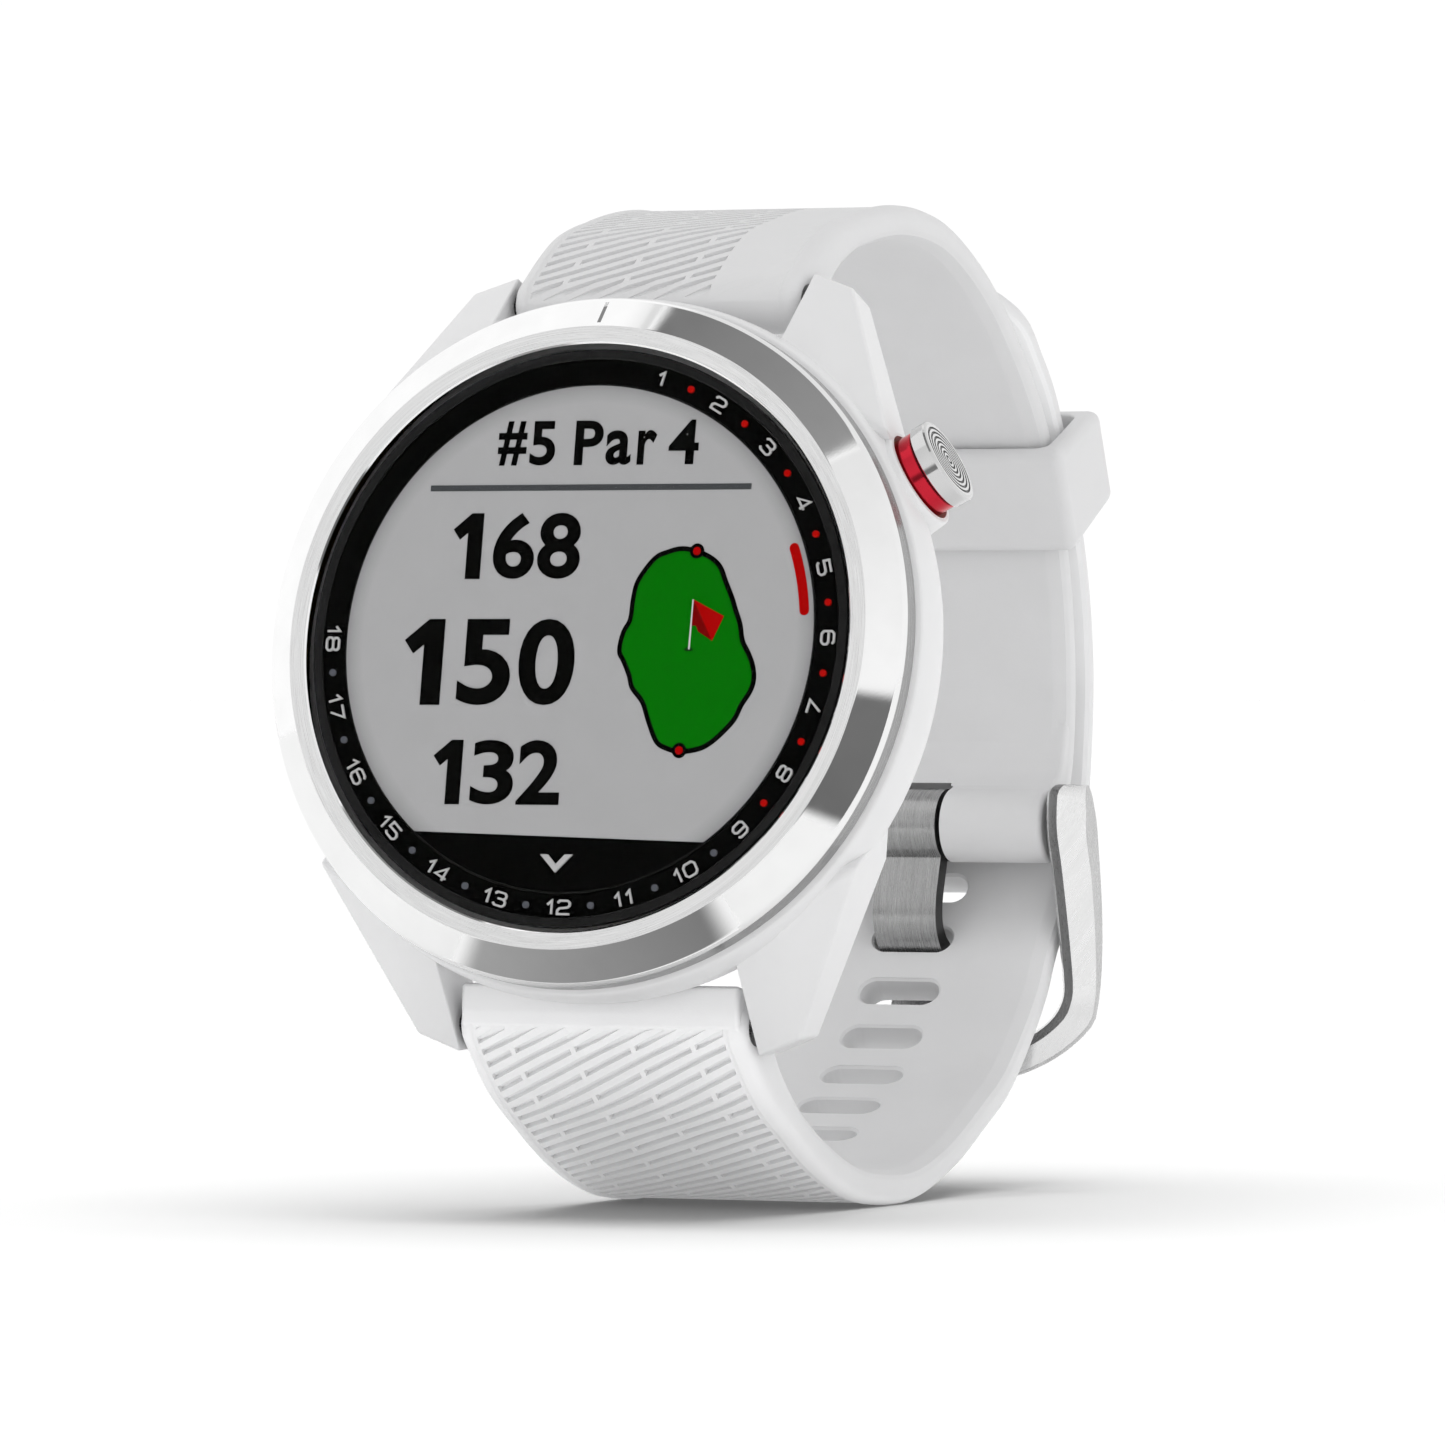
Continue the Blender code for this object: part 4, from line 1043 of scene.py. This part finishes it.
def make_case():
    sides = smooth_line(((21.1, 2.7), (21.5, 3.0), (CASE_R, 4.4), (21.46, 5.9), (20.7, 7.6),
                         (19.7, 8.7)), 5)
    profile = [(CAVITY_R, 2.2), (19.3, 2.2), (19.3, 2.66), (21.0, 2.66)]
    profile += [(p.x, p.y) for p in sides]
    profile.append((CAVITY_R, 8.7))
    case = turned("case_body", profile, "case_white", segments=160)
    for up_sign in (1, -1):
        cut(case, block("recess", at(-RECESS_HALF, up_sign * 20.0, RECESS_BACK),
                        at(RECESS_HALF, up_sign * 26.0, 12.0)))
    for across_sign in (1, -1):
        for up_sign in (1, -1):
            cut(case, make_lug(across_sign, up_sign), 'UNION')
    boss = rod("boss", on_button_axis(19.4), on_button_axis(21.95), 3.45, 96, end_radius=3.2)
    bevel(boss, 0.18, 3, 60.0)
    cut(case, settle(boss), 'UNION')
    cut(case, turned("cavity", [(CAVITY_R + 0.02, 1.0), (CAVITY_R + 0.02, 12.0)], solid=True))
    cut(case, rod("seat", on_button_axis(20.6), on_button_axis(23.0), 2.86, 96))
    cut(case, rod("bore", on_button_axis(15.0), on_button_axis(23.0), 1.9, 64))
    for up_sign in (1, -1):
        cut(case, axle("bar_holes", 11.7, up_sign * BAR_UP, BAR_BACK, 0.68, 32))
    finish_piece(case, 17.0, "case", "case_white", "case_middle")


def make_case_back():
    """The screwed cover, with its charging port and the groove round its middle."""
    profile = [(18.9, 9.0), (18.9, 9.62), (18.82, 9.78), (17.98, 10.62), (17.3, 11.14),
               (17.16, CASE_BACK_DEPTH)]
    back = turned("back_cover", profile, "case_white", solid=True)
    corners = [math.radians(45 + 90 * index) for index in range(4)]
    screws = [(SCREW_CIRCLE_R * math.cos(a), SCREW_CIRCLE_R * math.sin(a)) for a in corners]
    for x, y in screws:
        cut(back, rod("pocket", at(x, y, 10.1), at(x, y, 12.0), 1.5, 48, end_radius=1.62))
    cut(back, block("port", at(-3.6, -9.3, 10.0), at(3.6, -6.1, 12.0), bevel_mm=0.5))
    cut(back, turned("window_groove", [(7.6, 11.08), (7.9, 11.08), (7.9, 12.0), (7.6, 12.0)],
                     segments=96))
    bevel(back, 0.05, 2, 35.0)
    finish_piece(back, 30.0, "case", "case_white", "case_back")
    for index, (x, y) in enumerate(screws, 1):
        head = rod(f"screw_head_{index}", at(x, y, 10.4), at(x, y, 11.05), 1.15, 48,
                   "bar_steel", end_radius=1.12)
        for wide, tall in ((0.16, 0.9), (0.9, 0.16)):
            cut(head, block("slot", at(x - wide, y - tall, 10.8), at(x + wide, y + tall, 12.0)))
        bevel(head, 0.05, 2, 40.0)
        finish_piece(head, 35.0, "case", "bar_steel", f"case_screw_{index}")


# ---------------------------------------- button

def button_matrix():
    """Z along the button's axis, so that its pieces are turned like the dial's."""
    angle = math.radians(BUTTON_ANGLE_DEG)
    axis = Vector((math.sin(angle), math.cos(angle), 0.0))
    side = Vector((0.0, 0.0, 1.0))
    local = Matrix((side.cross(axis), side, axis)).transposed().to_4x4()
    local.translation = at(0.0, 0.0, BUTTON_BACK)
    return DIAL @ local


def button_turned(name, profile, finish, solid=False):
    """Profile points are (radius, distance from the middle of the watch)."""
    return turned(name, [(r, -d) for r, d in profile], finish, 96, solid, button_matrix())


# The rings behind the cap: name, finish, slot, nodes replaced, (radius, distance) profile.
BUTTON_RINGS = (
    ("button_red_ring", "button_red", "button_red", ("button_ring",),
     ((1.1, 21.6), (2.50, 21.6), (2.58, 21.68), (2.58, 22.80), (2.52, 22.86), (1.1, 22.86))),
    ("button_gold_ring", "thin_gold", "contact_gold", (),
     ((1.3, 21.42), (2.66, 21.42), (2.70, 21.48), (2.70, 21.55), (2.66, 21.58), (1.3, 21.58))),
    ("button_dark_gap", "rim_black", "seal_rubber", (),
     ((1.0, 22.87), (2.48, 22.87), (2.48, 22.94), (1.0, 22.94))),
)


def make_button():
    """The cap, with turned grooves in its face painted dark as painted shade, and the rings behind
    it.
    """
    face = 24.05
    profile = [(2.60, 22.95), (2.72, 23.03), (2.72, face - 0.17), (2.66, face - 0.06),
               (2.56, face - 0.01), (2.46, face)]
    rings = 7
    pitch = 2.30 / rings
    for k in range(rings):
        radius = 2.30 - k * pitch
        profile += [(radius, face), (radius - 0.03, face - 0.07),
                    (radius - 0.4 * pitch, face - 0.07), (radius - 0.4 * pitch - 0.03, face)]
    cap = button_turned("button_cap_turned", [(max(r, 0.02), d) for r, d in profile],
                        "button_steel", solid=True)
    cap.data.materials.append(FINISHES["button_face"])
    cap.data.materials.append(FINISHES["button_groove_painted_shade"])
    for polygon in cap.data.polygons:
        height = polygon.center.z / MM
        flat = math.hypot(polygon.center.x, polygon.center.y) / MM < 2.45
        if flat and abs(height - face) < 0.002:
            polygon.material_index = 1
        # painted shade: the groove faces take a dark copy of the steel, for the shade inside the
        # grooves
        elif flat and abs(height - face) < 0.08:
            polygon.material_index = 2
    finish_piece(cap, 25.0, "button", "button_steel", "button_cap", weighted=False)
    for name, finish, slot, replaced, ring_profile in BUTTON_RINGS:
        finish_piece(button_turned(name, ring_profile, finish), 30.0, "button", slot, *replaced)


# ---------------------------------------- straps

class StrapLine:
    """A strap's centre line by distance, with its section, and the round eye at its start."""

    def __init__(self, points, tapered):
        self.tapered = tapered
        self.fine = smooth_line(points, 24)
        self.lengths = [0.0]
        for p, q in zip(self.fine, self.fine[1:]):
            self.lengths.append(self.lengths[-1] + (q - p).length)
        self.length = self.lengths[-1]
        self.normals = [self.outward(index) for index in range(len(self.fine))]

    def thick(self, along):
        """Thick at the lug end; a tapered strap thins again toward its tip."""
        along = max(along, 0.0)
        if not self.tapered or along < TAIL_START:
            return blend_between(along, 0.0, 9.0, 2 * EYE_R, STRAP_THICK)
        if along < self.length - TIP_LENGTH:
            return blend_between(along, TAIL_START, TAIL_START + 6.0, STRAP_THICK, TAIL_THICK)
        return blend_between(along, self.length - TIP_LENGTH, self.length, TAIL_THICK, TIP_THICK)

    def half_width(self, along):
        """Even, but for the round tip of a tapered strap."""
        if not self.tapered:
            return STRAP_HALF_WIDTH
        share = max(0.0, (along - self.length + TIP_LENGTH) / (TIP_LENGTH * 1.05))
        return STRAP_HALF_WIDTH * math.sqrt(1.0 - share * share)

    def outward(self, index):
        """Unit normal at a fine point, pointing away from the wrist."""
        run = (self.fine[min(index + 3, len(self.fine) - 1)] - self.fine[max(index - 3, 0)])
        normal = Vector((run.y, -run.x)).normalized()
        return normal if normal.dot(self.fine[index] - WRIST_CENTRE) > 0.0 else -normal

    def place(self, along):
        """Centre, outward direction and running direction at a distance, as (back, up)."""
        along = min(max(along, 0.0), self.length)
        low = min(bisect.bisect_right(self.lengths, along) - 1, len(self.fine) - 2)
        share = (along - self.lengths[low]) / (self.lengths[low + 1] - self.lengths[low])
        centre = self.fine[low].lerp(self.fine[low + 1], share)
        normal = self.normals[low].lerp(self.normals[low + 1], share).normalized()
        run = Vector((-normal.y, normal.x))
        if run.dot(self.fine[low + 1] - self.fine[low]) < 0.0:
            run = -run
        return centre, normal, run

    def surface(self, across, along, inset, outer):
        """A point of the outer or inner face, inset millimetres below it."""
        centre, normal, run = self.place(along)
        if along < 0.0:
            angle = along / EYE_R
            spot = centre + (normal * math.cos(angle) + run * math.sin(angle)) * (EYE_R - inset)
        else:
            half = self.thick(along) / 2 - inset
            spot = centre + normal * (half if outer else -half)
        return at(across * self.half_width(along) / STRAP_HALF_WIDTH, spot.y, spot.x)


def groove_lines(start, end):
    """(distance, share of the depth, row) across every groove; the floor slopes to one side."""
    half = GROOVE_WIDTH / 2
    lines = []
    for row in range(int((end - start) / GROOVE_PITCH)):
        middle = start + row * GROOVE_PITCH
        for offset, share in ((-half - 0.04, 0.0), (-half + 0.02, 0.42), (half - 0.05, 1.0),
                              (half, 0.96), (half + 0.05, 0.0)):
            lines.append((middle + offset, share, row))
    return lines


def dash_edges(field_right):
    """The across positions where a dashed row starts and stops."""
    edges = [FIELD_LEFT]
    gap = FIRST_GAP
    while gap < field_right - 0.8:
        edges += [gap, gap + DASH_GAP]
        gap += DASH_PITCH
    edges.append(field_right)
    return edges


def groove_share(across, dashed, edges):
    """1 inside a groove and 0 outside it, by the position across the strap."""
    if across <= edges[0] or across >= edges[-1]:
        return 0.0
    return float(sum(1 for edge in edges if edge < across) % 2) if dashed else 1.0


def groove_column(across, slope, edges, field_end):
    """(distance, groove depth) along the grooved field at one position across the strap."""
    reach = GROOVE_SLOPE * STRAP_HALF_WIDTH
    column = [(FIELD_START, 0.0)]
    for middle, share, row in groove_lines(FIELD_START - reach, field_end + reach):
        along = min(max(middle + slope * across, FIELD_START), field_end)
        fade = ramp(along, FIELD_START, FIELD_START + 1.7)
        fade *= 1.0 - ramp(along, field_end - 5.0, field_end)
        inside = groove_share(across, row % 2 == 0, edges)
        column.append((along, share * inside * fade * GROOVE_DEPTH))
    column.append((field_end, 0.0))
    return column


def strap_stations(edges):
    """Positions across a strap: its shoulders, its border, the dash ends and some between."""
    right = [STRAP_HALF_WIDTH - inset for inset in (0.0, 0.05, 0.2, 0.42, 0.7, 0.95, 1.05)]
    right += [BORDER_FROM + 0.08, BORDER_FROM]
    stations = right + [-across for across in right]
    for edge in edges:
        stations += [edge - 0.03, edge + 0.03]
    for between in (-7.4, -4.2, -0.1, 3.0, 5.0, 6.9):
        if min(abs(between - station) for station in stations) > 0.25:
            stations.append(between)
    return sorted(set(round(station, 4) for station in stations))


def shoulder(across, thick):
    """How far the rounded outer edge falls away from the outer face."""
    radius = min(1.05, 0.42 * thick)
    past = max(0.0, abs(across) - (STRAP_HALF_WIDTH - radius))
    return radius - math.sqrt(max(0.0, radius * radius - past * past))


def inner_bevel(across, thick):
    """How far the inner edge falls away from the inner face, less where the strap is thin."""
    past = max(0.0, abs(across) - (STRAP_HALF_WIDTH - 1.0))
    return min(1.0, thick / STRAP_THICK) * (0.42 * past + 0.25 * max(0.0, past - 0.8) / 0.2)


def field_step(across, along, field_end):
    """How far the grooved field lies below the plain border."""
    step = 0.10 * (1.0 - ramp(abs(across), BORDER_FROM, BORDER_FROM + 0.18))
    step *= ramp(along, -1.9, -0.9)
    return step * (1.0 - ramp(along, field_end + 1.0, field_end + 6.0))


def zip_side(bm, outer, inner):
    """Close the side of a strap between its outer and inner edge chains."""
    i, j = 0, 0
    while i < len(outer) - 1 or j < len(inner) - 1:
        next_outer = outer[i + 1][0] if i < len(outer) - 1 else math.inf
        next_inner = inner[j + 1][0] if j < len(inner) - 1 else math.inf
        if next_outer <= next_inner:
            corners = (outer[i][1], outer[i + 1][1], inner[j][1])
            i += 1
        else:
            corners = (outer[i][1], inner[j + 1][1], inner[j][1])
            j += 1
        if len(set(corners)) == 3:
            bm.faces.new(corners)


def make_strap_body(name, line, slope, field_right, field_end):
    """One strap: grooved outer face, rounded shoulders, softer inner bevel, round lug end."""
    edges = dash_edges(field_right)
    lead = [-math.pi * EYE_R * (1 - k / 14) for k in range(14)]
    lead = [(along, 0.0) for along in lead if along < FIELD_START]
    tail = []
    rest = field_end
    while rest < line.length - 0.4:
        rest += 0.7
        tail.append((min(rest, line.length), 0.0))
    if rest < line.length:
        tail.append((line.length, 0.0))
    inner_stops = [line.length * k / 130 for k in range(131)]
    bm = bmesh.new()
    grid = []
    for across in strap_stations(edges):
        outer = []
        for along, depth in lead + groove_column(across, slope, edges, field_end) + tail:
            inset = shoulder(across, line.thick(along)) + depth
            inset += field_step(across, along, field_end)
            outer.append((along, bm.verts.new(line.surface(across, along, inset, True))))
        inner = []
        for along in inner_stops:
            inset = inner_bevel(across, line.thick(along))
            inner.append((along, bm.verts.new(line.surface(across, along, inset, False))))
        grid.append((outer, inner))
    for near, far in zip(grid, grid[1:]):
        for side in (0, 1):
            for k in range(len(near[side]) - 1):
                bm.faces.new((near[side][k][1], near[side][k + 1][1], far[side][k + 1][1],
                              far[side][k][1]))
        for end in (0, -1):
            bm.faces.new((near[0][end][1], near[1][end][1], far[1][end][1], far[0][end][1]))
    for outer, inner in (grid[0], grid[-1]):
        zip_side(bm, outer, inner)
    bmesh.ops.remove_doubles(bm, verts=bm.verts, dist=MERGE_M)
    bmesh.ops.dissolve_degenerate(bm, edges=bm.edges, dist=MERGE_M)
    return mesh_object(name, bm, "silicone")


def slot_plug(centre, normal, thickness):
    """A stadium plug through the strap, flared where it meets each face."""
    along = Vector((-normal.y, normal.x))
    half = thickness / 2
    flat = SLOT_HALF_LENGTH - SLOT_HALF_HEIGHT
    rings = []
    for depth, grow in ((-half - 0.4, 0.14), (-half, 0.14), (-half + 0.16, 0.0),
                        (half - 0.08, 0.0), (half, 0.06), (half + 0.4, 0.06)):
        ring = []
        for k in range(32):
            angle = math.radians(360.0 * (k + 0.5) / 32)
            radius = SLOT_HALF_HEIGHT + grow
            across = radius * math.cos(angle) + math.copysign(flat, math.cos(angle))
            spot = centre + normal * depth + along * radius * math.sin(angle)
            ring.append(at(across, spot.y, spot.x))
        rings.append(ring)
    return loft("slot", rings)


def cut_lug_end(strap, up_sign):
    """The bar's bore and the opening for the release lever."""
    cut(strap, axle("bore", 11.0, up_sign * BAR_UP, BAR_BACK, STRAP_BORE_R, 40))
    cut(strap, block("lever_room", at(5.7, up_sign * (BAR_UP - 2.6), BAR_BACK + 0.1),
                     at(8.4, up_sign * (BAR_UP + 0.6), BAR_BACK + 3.2), bevel_mm=0.3))


def make_upper_strap():
    line = StrapLine(UPPER_LINE, False)
    strap = make_strap_body("strap_upper", line, GROOVE_SLOPE, 3.75, 24.0)
    fillet = side_plate("fillet", BUCKLE_END_FILLET, -BUCKLE_EYE_HALF, BUCKLE_EYE_HALF, "silicone")
    cut(strap, settle(bevel(fillet, 0.3, 3, 80.0)), 'UNION')
    eye = axle("eye", BUCKLE_EYE_HALF, BUCKLE_UP, BUCKLE_BACK, 2.4, 72, "silicone")
    cut(strap, settle(bevel(eye, 0.35, 4, 60.0)), 'UNION')
    cut(strap, axle("eye_bore", 11.0, BUCKLE_UP, BUCKLE_BACK, BUCKLE_BORE_R, 40))
    cut(strap, block("tongue_room", at(-2.55, BUCKLE_UP - 4.0, 49.0), at(2.55, -0.15, 60.0),
                     bevel_mm=0.25))
    cut_lug_end(strap, 1)
    finish_piece(strap, 32.0, "case", "strap_silicone", "upper_strap")


def make_lower_strap():
    line = StrapLine(LOWER_LINE, True)
    strap = make_strap_body("strap_lower", line, -GROOVE_SLOPE, 8.2, 27.0)
    stops = [k * 0.25 for k in range(int(line.length / 0.25))]
    tongue = min(stops, key=lambda stop: (line.place(stop)[0] - Vector(TONGUE_SLOT)).length)
    plugs = []
    for index in range(-SLOTS_BEFORE, SLOTS_AFTER + 1):
        along = tongue + index * SLOT_PITCH
        centre, normal, _ = line.place(along)
        plugs.append(slot_plug(centre, normal, line.thick(along)))
    cut(strap, join_all("slots", plugs))
    lip = side_plate("lip", LOWER_LIP, -LIP_HALF, LIP_HALF, "silicone")
    cut(strap, bevel(lip, 0.3, 3, 30.0), 'UNION')
    cut_lug_end(strap, -1)
    finish_piece(strap, 32.0, "case", "strap_silicone", "lower_strap")


# ---------------------------------------- keeper and buckle

def keeper_outline(depths, reaches):
    """Four (back, up) corners: the wrist side and the outer side of a box on the strap."""
    turn = math.radians(32.6)
    out = Vector((math.cos(turn), math.sin(turn)))
    along = Vector((-out.y, out.x))
    centre = Vector((20.4, -0.5))
    near, far = (centre + out * depth for depth in depths)
    (near_down, near_up), (far_down, far_up) = reaches
    return [near + along * near_down, near + along * near_up,
            far + along * far_up, far + along * far_down]


def make_keeper():
    keeper = side_plate("keeper_loop", keeper_outline((32.7, 40.5), ((-3.4, 3.6), (-2.6, 3.7))),
                        -11.3, 11.3, "silicone")
    settle(bevel(keeper, 0.75, 5, 30.0))
    way = side_plate("way", keeper_outline((33.75, 39.45), ((-6.0, 6.0), (-6.0, 6.0))),
                     -10.0, 10.0)
    cut(keeper, settle(bevel(way, 0.8, 4, 30.0)))
    bevel(keeper, 0.22, 3, 55.0)
    finish_piece(keeper, 30.0, "keeper", "strap_silicone", "strap_keeper")


# Side view of the frame's arm as (up, back) pairs: the wrist side, then the outer side.
FRAME_WRIST = smooth_line(((-0.3, 52.6), (-0.5, 51.6), (-0.9, 50.85), (-1.5, 50.5),
                           (-3.6, 50.8), (-5.6, 51.9), (-8.0, 53.1), (-10.6, 54.3),
                           (-13.2, 55.3), (-14.6, 55.2), (-16.8, 54.2), (-18.9, 52.8),
                           (-19.4, 53.2)), 6)
FRAME_OUTER = smooth_line(((-0.3, 52.8), (-0.6, 53.6), (-1.1, 54.4), (-2.8, 55.7),
                           (-6.4, 56.9), (-9.2, 57.5), (-12.0, 57.6), (-14.6, 57.1),
                           (-17.0, 56.1), (-19.0, 54.7), (-19.4, 53.9)), 6)

# The section's corners, from the inner chamfer outwards, as (share of the way to the outer side,
# share of the depth, millimetres deeper), and the finish of the facet after each: 0 is plain
# brushed, 1 the bevel in a lighter copy of the steel as a painted highlight, and 2 the narrow face
# in a darker copy as painted shade.
FRAME_SECTION = ((0.0, 0.0, 0.36), (0.13, 0.0, 0.0), (0.42, 0.0, 0.0), (1.0, 0.0, 2.1),
                 (1.0, 0.80, 0.0), (0.72, 1.0, 0.0), (0.2, 1.0, 0.0), (0.0, 0.86, 0.0))
FACET_FINISH = (1, 2, 1, 0, 0, 0, 2, 2)
ARM_TOP = -0.34
ARM_STOPS = 22
CORNER_STOPS = 18

# The tongue's strip from the bar to its tip, as (back, up).
TONGUE_LINE = ((53.2, -4.4), (52.9, -6.4), (52.75, -8.1), (53.05, -9.5), (53.85, -10.45),
               (54.8, -10.95), (55.75, -11.4), (56.65, -12.3), (56.9, -13.8), (56.5, -15.8),
               (55.75, -17.9), (55.2, -19.2))


def curve_at(points, up):
    """Back position of a side curve of (up, back) points at a height."""
    for (up_a, back_a), (up_b, back_b) in zip(points, points[1:]):
        if up >= up_b:
            share = min(1.0, max(0.0, (up_a - up) / (up_a - up_b)))
            return back_a + (back_b - back_a) * share
    return points[-1][1]


def u_outline(half_width, floor, corner):
    """A U from the top of its right arm round the corners to the top of its left arm."""
    points = []
    for k in range(ARM_STOPS):
        share = (k / ARM_STOPS) ** 1.7
        points.append((half_width, ARM_TOP + (floor + corner - ARM_TOP) * share))
    for k in range(CORNER_STOPS + 1):
        angle = math.radians(90.0 * k / CORNER_STOPS)
        points.append((half_width - corner + corner * math.cos(angle),
                       floor + corner - corner * math.sin(angle)))
    return points + [(-x, y) for x, y in reversed(points)]


def frame_section(inner, outer):
    """The frame's section between an inner and an outer point of the U."""
    ring = []
    for share, depth_share, depth_mm in FRAME_SECTION:
        x = inner[0] + (outer[0] - inner[0]) * share
        y = inner[1] + (outer[1] - inner[1]) * share
        wrist = curve_at(FRAME_WRIST, y)
        thick = curve_at(FRAME_OUTER, y) - wrist
        ring.append(at(x, y, wrist + min(depth_mm, 0.45 * thick) + thick * depth_share))
    return ring


def make_buckle():
    """A U with faceted arms, and the bar that it turns on."""
    inner = u_outline(10.05, -16.8, 3.6)
    outer = [(math.copysign(min(abs(x), 12.1), x), max(y, -19.4))
             for x, y in u_outline(13.0, -19.7, 8.2)]
    rings = [frame_section(*pair) for pair in zip(inner, outer)]
    buckle = loft("buckle_frame_facets", rings, "buckle_brushed")
    buckle.data.materials.append(FINISHES["buckle_bevel_painted_highlight"])
    buckle.data.materials.append(FINISHES["buckle_face_painted_shade"])
    # painted highlight and shade: the facets take lighter and darker copies of one brushed steel
    for face in buckle.data.polygons:
        if len(face.vertices) == 4:
            face.material_index = FACET_FINISH[face.index % len(FACET_FINISH)]
    cut(buckle, axle("bar_hole", 11.4, BUCKLE_UP, BUCKLE_BACK, 1.0, 40))
    cut(buckle, side_plate("rest", ribbon_outline(TONGUE_LINE[7:], 1.75), -2.5, 2.5))
    bevel(buckle, 0.09, 2, 14.0)
    finish_piece(buckle, 30.0, "buckle", "buckle_steel", "buckle_frame")
    bar = axle("buckle_bar_pin", 11.1, BUCKLE_UP, BUCKLE_BACK, 0.75, 40, "bar_steel")
    bevel(bar, 0.12, 3, 60.0)
    finish_piece(bar, 30.0, "buckle", "bar_steel", "buckle_bar")


def ribbon_outline(points, thickness):
    """The closed outline of a strip of even thickness along a (back, up) line."""
    line = smooth_line(points, 6)
    sides = []
    for k, centre in enumerate(line):
        run = line[min(k + 1, len(line) - 1)] - line[max(k - 1, 0)]
        normal = Vector((run.y, -run.x)).normalized() * thickness / 2
        sides.append((centre + normal, centre - normal))
    return [near for near, far in sides] + [far for near, far in reversed(sides)]


def make_tongue():
    """A strip rolled round the bar, its cut sides painted dark as painted shade."""
    tongue = axle("tongue_strip", TONGUE_HALF, BUCKLE_UP, BUCKLE_BACK, 2.35, 96, "tongue_steel")
    cut(tongue, side_plate("strip", ribbon_outline(TONGUE_LINE, 1.15), -TONGUE_HALF, TONGUE_HALF,
                           "tongue_steel"), 'UNION')
    cut(tongue, axle("bore", 5.0, BUCKLE_UP, BUCKLE_BACK, BUCKLE_BORE_R, 48))
    # painted shade: the cut sides take a near-black copy of the steel
    tongue.data.materials.append(FINISHES["tongue_side_painted_shade"])
    painted_shade_slot = len(tongue.data.materials) - 1
    turn = tongue.matrix_world.to_3x3()
    for face in tongue.data.polygons:
        if abs((turn @ face.normal).x) > 0.9:
            face.material_index = painted_shade_slot
    bevel(tongue, 0.1, 2, 40.0)
    finish_piece(tongue, 28.0, "tongue", "buckle_steel", "buckle_tongue")


# ---------------------------------------- carried-over CAD nodes

NODE_FINISHES = {
    "diffuser": ("backlight_sheet",),
    "plastic_black": ("display_frame", "charge_port_seat", "gps_chip", "button_switch"),
    "amber": ("display_flex",),
    "rubber_black": ("lens_gasket", "back_gasket", "button_seal"),
    "gold": ("charge_pin_1", "charge_pin_2", "charge_pin_3", "charge_pin_4", "gps_antenna"),
    "board_green": ("main_board",),
    "foil": ("battery",),
    "button_steel": ("button_stem",),
    "bar_steel": ("shield_can", "vibration_motor", "upper_bar_tube", "upper_bar_pin",
                  "lower_bar_tube", "lower_bar_pin", "button_clip"),
}


def dress_nodes():
    """Give every CAD node that stays in view its own finish."""
    for finish, names in NODE_FINISHES.items():
        for name in names:
            materials = frame["nodes"][name].data.materials
            materials.clear()
            materials.append(FINISHES[finish])


make_studio()
make_bezel()
make_lens()
make_dial_face()
make_screen_text()
make_green()
make_dial_print()
make_case()
make_case_back()
make_button()
make_upper_strap()
make_lower_strap()
make_keeper()
make_buckle()
make_tongue()
make_fill_sun(bpy.data.objects["strap_lower"])
dress_nodes()
